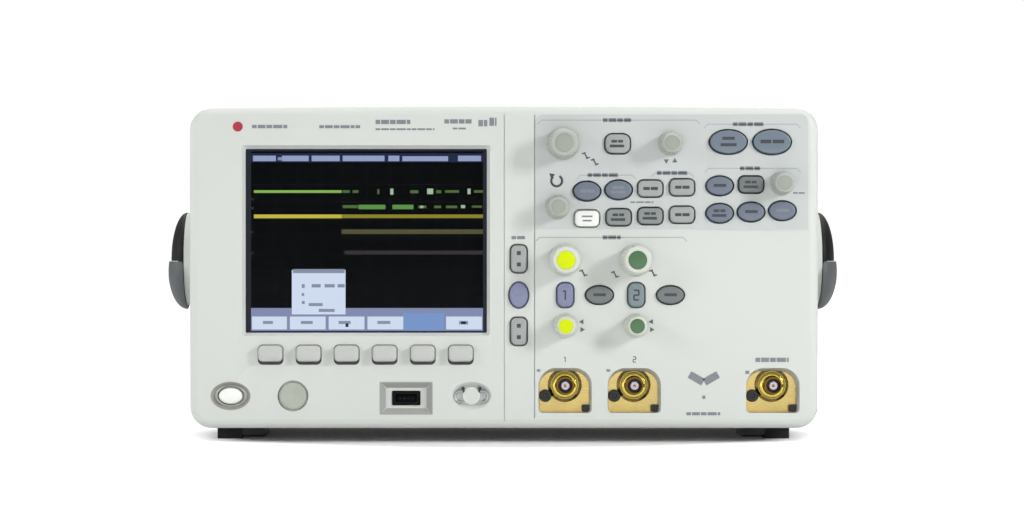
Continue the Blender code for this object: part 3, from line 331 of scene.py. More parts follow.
def linear(code: str) -> tuple[float, float, float, float]:
    """Turns a six-digit colour code into the colour that a shader reads."""
    parts = [int(code[i : i + 2], 16) / 255 for i in (0, 2, 4)]
    return (*[((c + 0.055) / 1.055) ** 2.4 if c > 0.04045 else c / 12.92 for c in parts], 1.0)


class Tree:
    """A node tree, and short ways to add to it."""

    def __init__(self, tree: bpy.types.NodeTree) -> None:
        """Wraps the tree."""
        self.tree = tree

    def add(self, kind: str, links: dict | None = None, **values: object) -> bpy.types.Node:
        """Adds a node.

        Args:
            kind: the node's type, without its ShaderNode prefix.
            links: input name or number to an output socket, or to a value.
            values: properties of the node.

        Returns:
            The new node.
        """
        node = self.tree.nodes.new(kind if kind.startswith("Node") else f"ShaderNode{kind}")
        for name, value in values.items():
            setattr(node, name, value)
        self.feed(node, links or {})
        return node

    def feed(self, node: bpy.types.Node, links: dict) -> None:
        """Sets a node's inputs.

        Args:
            node: the node.
            links: input name or number to an output socket, or to a value.
        """
        for name, source in links.items():
            if isinstance(source, bpy.types.NodeSocket):
                self.tree.links.new(source, node.inputs[name])
            else:
                node.inputs[name].default_value = source

    def shared(self, name: str, **links: object) -> bpy.types.Node:
        """Adds the shared group of that name, with its inputs set."""
        return self.add("Group", links, node_tree=GROUPS[name])

    def sum(self, kind: str, a: object, b: object) -> bpy.types.NodeSocket:
        """Adds a Math node of that operation on two values, and gives its output."""
        return self.add("Math", {0: a, 1: b}, operation=kind).outputs[0]


def group(name: str, inputs: dict[str, str], outputs: dict[str, str]) -> tuple[Tree, bpy.types.Node, bpy.types.Node]:
    """Starts a shader node group.

    Args:
        name: the group's name.
        inputs, outputs: socket name to its kind, Float, Color or Vector.

    Returns:
        Its tree, its input node and its output node.
    """
    tree = bpy.data.node_groups.new(name, "ShaderNodeTree")
    for found, way in ((inputs, "INPUT"), (outputs, "OUTPUT")):
        for socket, kind in found.items():
            tree.interface.new_socket(name=socket, in_out=way, socket_type=f"NodeSocket{kind}")
    wrapped = Tree(tree)
    return wrapped, wrapped.add("NodeGroupInput"), wrapped.add("NodeGroupOutput")


def moulded_group() -> bpy.types.NodeTree:
    """Makes the group for moulded plastic: slow mottling, a fine spark-eroded grain, and its gloss.

    Returns:
        The group.
    """
    kinds = {"Vector": "Vector", "Colour": "Color", "Mottle": "Float", "Grain": "Float", "Gloss": "Float"}
    tree, start, end = group("moulded grain", kinds, {"Colour": "Color", "Roughness": "Float", "Height": "Float"})
    slow = tree.add("TexNoise", {"Vector": start.outputs["Vector"], "Scale": 14.0, "Detail": 3.0})
    fine = tree.add("TexNoise", {"Vector": start.outputs["Vector"], "Scale": start.outputs["Grain"], "Detail": 2.0})
    most = tree.sum("MULTIPLY", slow.outputs["Fac"], 0.7)
    both = tree.sum("ADD", most, tree.sum("MULTIPLY", fine.outputs["Fac"], 0.3))
    swing = tree.sum("MULTIPLY", tree.sum("SUBTRACT", both, 0.5), start.outputs["Mottle"])
    value = tree.sum("ADD", swing, 1.0)
    shade = tree.add("HueSaturation", {"Color": start.outputs["Colour"], "Value": value})
    rough = tree.sum("ADD", start.outputs["Gloss"], tree.sum("MULTIPLY", swing, 0.9))
    tree.feed(end, {"Colour": shade.outputs[0], "Roughness": rough, "Height": fine.outputs["Fac"]})
    return tree.tree


def dust_group() -> bpy.types.NodeTree:
    """Makes the group for settled dust: a pale film on what faces up, broken by noise.

    Returns:
        The group.
    """
    kinds = {"Vector": "Vector", "Normal": "Vector", "Colour": "Color", "Amount": "Float"}
    tree, start, end = group("settled dust", kinds, {"Colour": "Color", "Mask": "Float"})
    facing = tree.add("SeparateXYZ", {0: start.outputs["Normal"]})
    up = tree.add("MapRange", {"Value": facing.outputs["Z"], "From Min": 0.3, "From Max": 1.0})
    patch = tree.add("TexNoise", {"Vector": start.outputs["Vector"], "Scale": 60.0, "Detail": 5.0})
    mask = tree.sum("MULTIPLY", tree.sum("MULTIPLY", up.outputs[0], patch.outputs["Fac"]), start.outputs["Amount"])
    mixed = tree.add("Mix", {"Factor": mask, 6: start.outputs["Colour"], 7: linear("b9b6ad")}, data_type="RGBA")
    tree.feed(end, {"Colour": mixed.outputs[2], "Mask": mask})
    return tree.tree


def brushed_group() -> bpy.types.NodeTree:
    """Makes the group for metal: fine drawn lines along one axis, and faint stains.

    Returns:
        The group.
    """
    kinds = {"Vector": "Vector", "Colour": "Color", "Gloss": "Float", "Lines": "Float"}
    tree, start, end = group("drawn metal", kinds, {"Colour": "Color", "Roughness": "Float", "Height": "Float"})
    stretched = tree.add("Mapping", {"Vector": start.outputs["Vector"], "Scale": (60.0, 900.0, 2600.0)})
    lines = tree.add("TexNoise", {"Vector": stretched.outputs[0], "Scale": 1.0, "Detail": 3.0})
    stain = tree.add("TexNoise", {"Vector": start.outputs["Vector"], "Scale": 90.0, "Detail": 4.0})
    value = tree.sum("ADD", tree.sum("MULTIPLY", tree.sum("SUBTRACT", stain.outputs["Fac"], 0.5), 0.35), 1.0)
    shade = tree.add("HueSaturation", {"Color": start.outputs["Colour"], "Value": value})
    streak = tree.sum("MULTIPLY", tree.sum("SUBTRACT", lines.outputs["Fac"], 0.5), start.outputs["Lines"])
    rough = tree.sum("ADD", start.outputs["Gloss"], streak)
    tree.feed(end, {"Colour": shade.outputs[0], "Roughness": rough, "Height": lines.outputs["Fac"]})
    return tree.tree


def tracks_group() -> bpy.types.NodeTree:
    """Makes the group for a circuit board: tracks under green mask, and tinned pads.

    Returns:
        The group.
    """
    tree, start, end = group("board tracks", {"Vector": "Vector"}, {"Colour": "Color", "Pads": "Float"})
    cells = tree.add(
        "TexBrick",
        {"Vector": start.outputs["Vector"], "Color1": linear("14532d"), "Color2": linear("1b6338"),
         "Mortar": linear("0d3b20"), "Scale": 90.0, "Mortar Size": 0.04},
    )
    dots = tree.add("TexVoronoi", {"Vector": start.outputs["Vector"], "Scale": 260.0, "Randomness": 0.6})
    pads = tree.sum("LESS_THAN", dots.outputs["Distance"], 0.16)
    mixed = tree.add("Mix", {"Factor": pads, 6: cells.outputs["Color"], 7: linear("b9b7a6")}, data_type="RGBA")
    tree.feed(end, {"Colour": mixed.outputs[2], "Pads": pads})
    return tree.tree


GROUPS = {
    "moulded": moulded_group(), "dust": dust_group(), "brushed": brushed_group(), "tracks": tracks_group()
}


@dataclass(frozen=True)
class Finish:
    """What every finish has: a name, the record's slot and a colour code."""

    name: str
    slot: str
    colour: str

    def material(self) -> bpy.types.Material:
        """Gives the material, and makes it the first time.

        Returns:
            The material.
        """
        found = bpy.data.materials.get(self.name)
        if found is None:
            found = bpy.data.materials.new(self.name)
            found.use_nodes = True
            tree = Tree(found.node_tree)
            shader = found.node_tree.nodes["Principled BSDF"]
            self.paint(tree, shader, tree.add("TexCoord").outputs["Object"])
        return found

    def paint(self, tree: Tree, shader: bpy.types.Node, place: bpy.types.NodeSocket) -> None:
        """Connects the shader.

        Args:
            tree: the material's nodes.
            shader: its Principled BSDF.
            place: the object coordinate.
        """
        raise NotImplementedError


@dataclass(frozen=True)
class Plastic(Finish):
    """Moulded plastic or rubber, with grain, mottling and a little dust on top."""

    gloss: float = 0.45
    mottle: float = 0.06
    grain: float = 1800.0
    depth: float = 0.06
    dust: float = 0.12
    # light given off in the finish's colour: backlight on the lit keys, painted light on the yellow caps
    glow: float = 0.0
    shine: float = 0.5

    def paint(self, tree: Tree, shader: bpy.types.Node, place: bpy.types.NodeSocket) -> None:
        """Connects grain and dust to the shader.

        Args:
            tree, shader, place: as for every finish.
        """
        grain = tree.shared(
            "moulded", Vector=place, Colour=linear(self.colour), Mottle=self.mottle, Grain=self.grain, Gloss=self.gloss
        )
        facing = tree.add("NewGeometry").outputs["Normal"]
        film = tree.shared("dust", Vector=place, Normal=facing, Colour=grain.outputs["Colour"], Amount=self.dust)
        bump = tree.add("Bump", {"Height": grain.outputs["Height"], "Strength": self.depth, "Distance": 0.0002})
        tree.feed(shader, {
            "Base Color": film.outputs["Colour"], "Roughness": grain.outputs["Roughness"], "Normal": bump.outputs[0],
            "Specular IOR Level": self.shine,
        })
        if self.glow:
            tree.feed(shader, {"Emission Color": linear(self.colour), "Emission Strength": self.glow})


@dataclass(frozen=True)
class Metal(Finish):
    """Plated or drawn metal."""

    gloss: float = 0.3
    lines: float = 0.12

    def paint(self, tree: Tree, shader: bpy.types.Node, place: bpy.types.NodeSocket) -> None:
        """Connects the drawn lines to the shader.

        Args:
            tree, shader, place: as for every finish.
        """
        drawn = tree.shared("brushed", Vector=place, Colour=linear(self.colour), Gloss=self.gloss, Lines=self.lines)
        bump = tree.add("Bump", {"Height": drawn.outputs["Height"], "Strength": 0.05, "Distance": 0.0001})
        tree.feed(shader, {
            "Base Color": drawn.outputs["Colour"], "Roughness": drawn.outputs["Roughness"], "Normal": bump.outputs[0],
            "Metallic": 1.0,
        })


@dataclass(frozen=True)
class Ink(Finish):
    """Screen-printed ink, a little uneven in cover."""

    def paint(self, tree: Tree, shader: bpy.types.Node, place: bpy.types.NodeSocket) -> None:
        """Connects the ink's uneven cover to the shader.

        Args:
            tree, shader, place: as for every finish.
        """
        cover = tree.add("TexNoise", {"Vector": place, "Scale": 700.0, "Detail": 3.0})
        value = tree.sum("ADD", tree.sum("MULTIPLY", cover.outputs["Fac"], 0.3), 0.85)
        shade = tree.add("HueSaturation", {"Color": linear(self.colour), "Value": value})
        tree.feed(shader, {"Base Color": shade.outputs[0], "Roughness": 0.55})


@dataclass(frozen=True)
class Glow(Finish):
    """Part of the lit picture, with the faint columns of a liquid crystal panel."""

    def paint(self, tree: Tree, shader: bpy.types.Node, place: bpy.types.NodeSocket) -> None:
        """Connects the picture's colour to the shader's emission.

        Args:
            tree, shader, place: as for every finish.
        """
        columns = tree.add("TexWave", {"Vector": place, "Scale": 480.0}, bands_direction="X")
        value = tree.sum("ADD", tree.sum("MULTIPLY", columns.outputs["Fac"], 0.12), 0.94)
        shade = tree.add("HueSaturation", {"Color": linear(self.colour), "Value": value})
        tree.feed(shader, {
            "Emission Color": shade.outputs[0], "Emission Strength": 1.0, "Base Color": (0.002, 0.002, 0.002, 1),
            "Specular IOR Level": 0.0, "Roughness": 0.8,
        })


@dataclass(frozen=True)
class Pane(Finish):
    """The coated window: nearly clear, with a soft sheen and a trace of smears."""

    alpha: float = 0.045

    def paint(self, tree: Tree, shader: bpy.types.Node, place: bpy.types.NodeSocket) -> None:
        """Connects the smears to the shader's roughness.

        Args:
            tree, shader, place: as for every finish.
        """
        smear = tree.add("TexNoise", {"Vector": place, "Scale": 35.0, "Detail": 4.0})
        rough = tree.sum("ADD", tree.sum("MULTIPLY", smear.outputs["Fac"], 0.12), 0.1)
        tree.feed(shader, {
            "Roughness": rough, "Base Color": linear(self.colour), "Alpha": self.alpha, "Specular IOR Level": 0.35
        })


@dataclass(frozen=True)
class Board(Finish):
    """Green solder mask over tracks, with tinned pads."""

    def paint(self, tree: Tree, shader: bpy.types.Node, place: bpy.types.NodeSocket) -> None:
        """Connects the tracks to the shader.

        Args:
            tree, shader, place: as for every finish.
        """
        tracks = tree.shared("tracks", Vector=place)
        pads = tracks.outputs["Pads"]
        rough = tree.sum("SUBTRACT", 0.5, tree.sum("MULTIPLY", pads, 0.2))
        tree.feed(shader, {"Base Color": tracks.outputs["Colour"], "Roughness": rough, "Metallic": pads})


SHELL = Plastic("shell_moulding", "shell_plastic", "cbcfca", gloss=0.5, mottle=0.05)
# the overlay's own grey, made darker to stand for the darker top of the face: partly painted shade
FIELD_SHADED = Plastic("control_field_shaded", "shell_plastic", "bec3c1", gloss=0.5, mottle=0.05)
SOFTKEY = Plastic("softkey_plastic", "key_grey", "b9bbb7", gloss=0.45)
KEY_GREY = Plastic("key_grey_plastic", "key_grey", "838988", gloss=0.45)
KEY_PALE = Plastic("key_pale_plastic", "key_grey", "9a9f9d", gloss=0.45)
KEY_DARK = Plastic("key_dark_plastic", "key_grey", "6d7374", gloss=0.45)
KEY_BLUE = Plastic("key_blue_plastic", "key_blue", "687180", gloss=0.4)
KEY_RUN = Plastic("key_run_plastic", "key_blue", "6b7884", gloss=0.35)
KEY_LIT = Plastic("key_lit_plastic", "key_blue", "767b97", gloss=0.35, glow=0.1)
KEY_LIT_SECOND = Plastic("key_lit_second_plastic", "key_blue", "738186", gloss=0.35, glow=0.08)
KEY_WHITE = Plastic("key_white_plastic", "key_white", "eceee9", gloss=0.4)
# near-black sheet behind the softkeys, seen in the gaps below them: painted shadow
SOFTKEY_SHADOW = Plastic("key_mat", "key_grey", "3f4145", gloss=0.7)
# darker grey on the USB recess's slopes: painted shade
RECESS_SHADE = Plastic("recess_painted_shade", "shell_plastic", "9d9f9b", gloss=0.5)
# darker grey on the power key's dish slopes: painted shade
DISH_SHADE = Plastic("dish_painted_shade", "shell_plastic", "9b9a93", gloss=0.5)
KNOB = Plastic("knob_moulding", "knob_plastic", "c9cdc4", gloss=0.45)
KNOB_GREY = Plastic("knob_moulding_grey", "knob_plastic", "aaaea7", gloss=0.45)
KNOB_TOP = Plastic("knob_top", "knob_plastic", "979d92", gloss=0.45)
DIAL = Plastic("dial_disc", "knob_plastic", "a6aca0", gloss=0.45)
# the yellow caps give off a faint glow in their own colour: painted light
YELLOW_PAINTED_GLOW = Plastic("channel_yellow_painted_glow", "knob_plastic", "c6d80a", gloss=0.4, glow=0.08, shine=0.12)
GREEN = Plastic("channel_green", "knob_plastic", "486c48", gloss=0.35)
BRASS = Metal("gold_plate", "socket_metal", "b9a468", gloss=0.27)
# darker copy of the gold plating for the barrels: painted shade
BRASS_SHADED = Metal("socket_barrel_painted_shade", "socket_metal", "7d6128", gloss=0.3)
# brighter copy of the gold plating for the nuts: painted highlight
BRASS_HIGHLIGHT = Metal("socket_nut_painted_highlight", "socket_metal", "e3cd62", gloss=0.2)
STEEL = Metal("zinc_plate", "plated_steel", "b4b7ba", gloss=0.32)
# near-black metal for the USB port's shell: painted shade inside the mouth
PORT_SHADE_STEEL = Metal("port_shell_painted_shade", "plated_steel", "24262a", gloss=0.5)
ALUMINIUM = Metal("module_frame", "module_metal", "b9bbbd", gloss=0.4)
# dark brown-black in the gap round the socket's insulator: painted shade
SOCKET_BORE_SHADE = Plastic("socket_liner", "socket_metal", "2c1712", gloss=0.4)
INSULATOR = Plastic("insulator_white", "socket_metal", "c4b4be", gloss=0.3)
# black without sheen: the tongue's own black, and painted shade in the ring round the mouth
BLACK_AND_MOUTH_SHADE = Plastic("mouth_black_and_painted_shade", "black_plastic", "050506", gloss=0.6, dust=0.0, shine=0.1)
BLACK = Plastic("black_moulding", "black_plastic", "17181a", gloss=0.4, mottle=0.1)
HANDLE_BLACK = Plastic("handle_black", "handle_plastic", "0c0d0f", gloss=0.5, mottle=0.1, grain=1200.0, shine=0.2)
# grey of the hubs' lower halves: painted reflection of the pale floor below
HUB_REFLECTION_GREY = Plastic("hub_painted_reflection", "handle_plastic", "55595b", gloss=0.5, grain=1200.0, shine=0.35)
GRIP_RUBBER = Plastic("grip_rubber", "handle_plastic", "1c1d1f", gloss=0.7, grain=900.0, depth=0.2)
FOOT_RUBBER = Plastic("foot_rubber_black", "foot_rubber", "17181a", gloss=0.8, grain=700.0, depth=0.25)
FOOT_PLASTIC = Plastic("foot_plastic_black", "foot_plastic", "1b1c1e", gloss=0.5)
INK = Ink("print_grey", "shell_plastic", "7b8086")
INK_PALE = Ink("print_pale", "shell_plastic", "a3a8ab")
INK_SIGN = Ink("print_sign", "shell_plastic", "5c6064")
INK_DARK = Ink("print_dark", "shell_plastic", "3b3e42")
INK_RED = Ink("print_red", "shell_plastic", "a8283c")
GLASS = Pane("coated_window", "window_glass", "0a0d12")
PICTURE_BLACK = Glow("picture_black", "window_glass", "030406")
PICTURE_RIM = Glow("picture_rim", "window_glass", "2b2d36")
BOARD = Board("board_mask", "board_green", "14532d")


def add_piece(
    name: str, bm: Mesh, finish: Finish, body: str = ROOT, stands_for: tuple = (), angle: float = 32
) -> bpy.types.Object:
    """Turns a mesh into a finished piece.

    Args:
        name: the piece's name.
        bm: its mesh, in place; it is freed.
        finish: its finish.
        body: the body that it rides on.
        stands_for: the CAD nodes that it replaces.
        angle: edges sharper than this, in degrees, stay crisp.

    Returns:
        The new object.
    """
    mesh = bpy.data.meshes.new(name)
    bm.to_mesh(mesh)
    bm.free()
    mesh.shade_smooth()
    mesh.set_sharp_from_angle(angle=math.radians(angle))
    mesh.materials.append(finish.material())
    piece = bpy.data.objects.new(name, mesh)
    bpy.context.scene.collection.objects.link(piece)
    weighted = piece.modifiers.new("weighted", "WEIGHTED_NORMAL")
    weighted.keep_sharp = True
    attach(piece, body)
    if stands_for:
        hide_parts(*stands_for)
    LOG.info("%s rides on %s", name, body)
    return piece


def middle(node: str) -> Vector:
    """Gives the middle of a CAD node's box."""
    low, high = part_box(node)
    return (low + high) / 2


# ---- the front controls ----


class Outline(Enum):
    """How a key looks from the front."""

    OVAL = "oval"
    BLOCK = "block"


@dataclass(frozen=True)
class Key:
    """One key: its cap, and the printed bars on it."""

    node: str
    outline: Outline
    finish: Finish
    bars: tuple = ()
    corner: float = 2.8 * MM
    ink: Finish = INK_DARK
    flange: float = 0.8 * MM
    edge: float = 0.8 * MM
    crown: float = 0.35 * MM

    def size(self) -> tuple[float, float]:
        """Gives the cap's width and height."""
        low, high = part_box(self.node)
        return high.x - low.x - 2 * self.flange, high.z - low.z - 2 * self.flange

    def outlined(self, y0: float, y1: float, grow: float = 0.0, drop: float = 0.0) -> Mesh:
        """Makes a block of the cap's outline.

        Args:
            y0, y1: its front and back.
            grow: how far it stands outside the cap all round.
            drop: how far it sits below the cap.

        Returns:
            The new mesh.
        """
        place = middle(self.node)
        size = tuple(v + 2 * grow for v in self.size())
        if self.outline is Outline.OVAL:
            return oval(place.x, place.z - drop, size, y0, y1)
        return slab(place.x, place.z - drop, size, y0, y1, self.corner + grow)

    def build(self) -> None:
        """Makes the cap, crowned and round at its edge, and its printed bars."""
        low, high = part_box(self.node)
        place = middle(self.node)
        front = low.y + self.crown
        bm = self.outlined(front, high.y - 1.2 * MM)
        round_edges(bm, edges_at(bm, 1, front), self.edge, 3)
        stepped(bm, front, place.x, place.z, [(0.8, self.crown * 0.55), (0.6, self.crown * 0.45)])
        skirt = self.outlined(high.y - 1.2 * MM, high.y, self.flange * 0.8)
        add_piece(f"{self.node}_cap", joined([bm, skirt]), self.finish, self.node, (self.node,))
        if self.bars:
            plates = [
                slab(place.x + x, place.z + z, (w, h), low.y - 0.03 * MM, low.y + 0.5 * MM)
                for x, z, w, h in (mm(*bar) for bar in self.bars)
            ]
            add_piece(f"{self.node}_legend", joined(plates), self.ink, self.node)


# Printed bars: x, z, width and height of each, in millimetres from the key's middle.
TWO_BARS = ((-1.9, 1.35, 3.2, 1.5), (1.6, 1.35, 2.8, 1.5), (-0.4, -1.3, 8, 1.5))
ONE_BAR = ((-2.2, 0, 3.6, 1.7), (2.1, 0, 4, 1.7))
SMALL_BAR = ((0, 0.2, 7, 1.6),)
ARROWS = ((0, 3.2, 2.2, 2.2), (0, -3.2, 2.2, 2.2))
NARROW = 1.4 * MM  # the flange of the small square keys

KEYS = (
    *[Key(f"softkey_{i}", Outline.BLOCK, SOFTKEY, corner=2.4 * MM, edge=1.3 * MM) for i in range(1, 7)],
    Key("logic_high_key", Outline.BLOCK, KEY_PALE, ARROWS, flange=1.5 * MM),
    Key("logic_menu_key", Outline.OVAL, KEY_LIT, ((0, 0, 4.6, 0.9),), ink=INK, flange=1.1 * MM),
    Key("logic_low_key", Outline.BLOCK, KEY_PALE, ARROWS, flange=1.5 * MM),
    Key("delay_menu_key", Outline.BLOCK, KEY_PALE, TWO_BARS, corner=3.8 * MM, flange=1.6 * MM),
    Key("run_stop_key", Outline.OVAL, KEY_RUN, ((0, 2, 7, 1.7), (0, -1.6, 9, 1.7)), flange=1.6 * MM),
    Key("single_key", Outline.OVAL, KEY_RUN, ((-3.6, 0.2, 6, 2), (3.4, 0.2, 6.4, 2)), flange=NARROW),
    Key("cursors_key", Outline.OVAL, KEY_BLUE, ONE_BAR, ink=INK),
    Key("measure_key", Outline.OVAL, KEY_BLUE, TWO_BARS, ink=INK),
    Key("acquire_key", Outline.BLOCK, KEY_PALE, ONE_BAR, flange=NARROW),
    Key("screen_key", Outline.BLOCK, KEY_PALE, ONE_BAR, flange=NARROW),
    Key("autoscale_key", Outline.BLOCK, KEY_WHITE, ((0, 1.2, 6, 0.9), (0, -1.2, 5, 0.9)), ink=INK, flange=NARROW),
    Key("save_key", Outline.BLOCK, KEY_GREY, TWO_BARS, flange=NARROW),
    Key("print_key", Outline.BLOCK, KEY_GREY, TWO_BARS, flange=NARROW),
    Key("utility_key", Outline.BLOCK, KEY_PALE, ONE_BAR, flange=NARROW),
    Key("edge_key", Outline.OVAL, KEY_BLUE, SMALL_BAR),
    Key("coupling_key", Outline.BLOCK, KEY_DARK, TWO_BARS, flange=NARROW),
    Key("pulse_key", Outline.OVAL, KEY_BLUE, TWO_BARS),
    Key("pattern_key", Outline.OVAL, KEY_BLUE, SMALL_BAR),
    Key("trigger_more_key", Outline.OVAL, KEY_BLUE, SMALL_BAR, ink=INK),
    Key("channel_1_key", Outline.BLOCK, KEY_LIT, corner=3.5 * MM, flange=1.2 * MM),
    Key("math_key", Outline.OVAL, KEY_DARK, SMALL_BAR),
    Key("channel_2_key", Outline.BLOCK, KEY_LIT_SECOND, corner=3.5 * MM, flange=1.2 * MM),
    Key("label_key", Outline.OVAL, KEY_DARK, SMALL_BAR),
    Key("power_key", Outline.OVAL, KEY_WHITE, edge=1.6 * MM),
)

SOFTKEYS = [key for key in KEYS if key.node.startswith("softkey")]


@dataclass
class KeyRows:
    """All the keys, and the digits on the two channel keys."""

    digit_height: float = 5.4 * MM

    def build(self) -> None:
        """Makes every key."""
        for key in KEYS:
            key.build()
        for channel in (1, 2):
            node = f"channel_{channel}_key"
            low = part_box(node)[0]
            place = middle(node)
            add_digit(f"{node}_digit", channel, place.x, place.z, low.y, self.digit_height, INK_DARK, node)


def add_digit(
    name: str, value: int, x: float, z: float, y: float, height: float, finish: Finish, body: str = ROOT
) -> bpy.types.Object:
    """Makes a raised digit, from the seven bars of a clock's.

    Args:
        name: the piece's name.
        value: the digit, 1 or 2.
        x, z: its middle.
        y: the surface that it stands on.
        height: its height.
        finish: its finish.
        body: the body that it rides on.

    Returns:
        The new object.
    """
    w, t = height * 0.5, height * 0.16
    half = height / 2
    one = [(0, 0, t, height), (-t, half - t / 2, t * 1.2, t)]
    two = [(0, half, w, t), (0, 0, w, t), (0, -half, w, t), (w / 2, half / 2, t, half), (-w / 2, -half / 2, t, half)]
    bars = one if value == 1 else two
    plates = [slab(x + dx, z + dz, (dw, dh), y - 0.04 * MM, y + 0.5 * MM) for dx, dz, dw, dh in bars]
    return add_piece(name, joined(plates), finish, body)


@dataclass
class Knobs:
    """The turning knobs: a flared skirt, a fluted grip and a set-in top."""

    flutes: int = 24
    flute_depth: float = 0.35 * MM
    shaft: float = 3 * MM
    dial_grow: float = 0.7 * MM
    big_from: float = 8 * MM
    big_trim: float = 1.3 * MM
    trim: float = 0.7 * MM
    big_share: float = 0.58
    small_share: float = 0.62
    tops: tuple = (
        ("sweep_scale_knob", KNOB_TOP), ("sweep_position_knob", KNOB_TOP), ("entry_knob", KNOB_TOP),
        ("trigger_level_knob", KNOB_TOP), ("channel_1_scale_knob", YELLOW_PAINTED_GLOW), ("channel_2_scale_knob", GREEN),
        ("channel_1_position_knob", YELLOW_PAINTED_GLOW), ("channel_2_position_knob", GREEN),
    )

    def grip(self, x: float, z: float, radius: float, top: float, base: float, back: float) -> Mesh:
        """Makes a knob's body, and presses flutes into every other facet of its grip.

        Args:
            x, z: its axis.
            radius: the skirt's radius.
            top, base, back: the y of its top, of its skirt's foot and of its shaft's end.

        Returns:
            The new mesh.
        """
        grip = radius - 0.8 * MM
        sunk = radius * (self.big_share if radius > self.big_from else self.small_share)
        profile = [
            (0, back), (self.shaft, back), (self.shaft, base), (radius, base), (radius, base - 0.9 * MM),
            (radius - 0.3 * MM, base - 1.4 * MM), (grip + 0.3 * MM, base - 2.6 * MM), (grip, base - 3.4 * MM),
            (grip * 0.95, top + 1.6 * MM), (grip * 0.93 - 0.3 * MM, top + 0.6 * MM),
            (grip * 0.93 - 1.0 * MM, top), (sunk, top), (sunk, top + 0.6 * MM), (0, top + 0.6 * MM),
        ]
        bm = turned(profile, x, z, self.flutes * 2)
        sides = [f for f in bm.faces if top + 1.7 * MM < f.calc_center_median().y < base - 3.5 * MM]
        sides.sort(key=lambda f: math.atan2(f.calc_center_median().z - z, f.calc_center_median().x - x))
        bmesh.ops.inset_individual(bm, faces=sides[::2], thickness=0.12 * MM, depth=-self.flute_depth)
        return bm

    def build(self) -> None:
        """Makes every knob with its top."""
        for node, finish in self.tops:
            low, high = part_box(node)
            place = middle(node)
            big = (high.x - low.x) / 2 > self.big_from
            radius = (high.x - low.x) / 2 - (self.big_trim if big else self.trim)
            base = FACE - 0.5 * MM
            bm = self.grip(place.x, place.z, radius, low.y, base, high.y)
            add_piece(f"{node}_grip", bm, KNOB_GREY if finish is KNOB_TOP else KNOB, node, (node,))
            cap = radius * (self.big_share if big else self.small_share) - 0.1 * MM
            profile = [
                (0, low.y + 0.7 * MM), (cap, low.y + 0.7 * MM), (cap, low.y + 0.1 * MM),
                (cap * 0.8, low.y - (0.25 if big else 0.1) * MM), (0, low.y - (0.4 if big else 0.2) * MM),
            ]
            add_piece(f"{node}_top", turned(profile, place.x, place.z, 40), finish, node)
        self.dial()

    def dial(self) -> None:
        """Makes the brightness dial, with a bevelled rim and a finger dimple."""
        low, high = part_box("intensity_dial")
        place = middle("intensity_dial")
        radius = (high.x - low.x) / 2 + self.dial_grow
        foot = FACE + 1.8 * MM
        profile = [
            (0, high.y), (self.shaft, high.y), (self.shaft, foot), (radius, foot),
            (radius, low.y + 0.8 * MM), (radius - 0.8 * MM, low.y), (radius * 0.55, low.y + 0.1 * MM),
            (radius * 0.3, low.y + 0.5 * MM), (0, low.y + 0.7 * MM),
        ]
        bm = turned(profile, place.x, place.z, 56)
        add_piece("intensity_dial_disc", bm, DIAL, "intensity_dial", ("intensity_dial",))


# ---- bezel ----


def rounded(radius: float) -> Outliner:
    """Gives a maker of blocks whose corners have that radius."""
    return lambda x, z, size, y0, y1: slab(x, z, size, y0, y1, radius, segments=8)


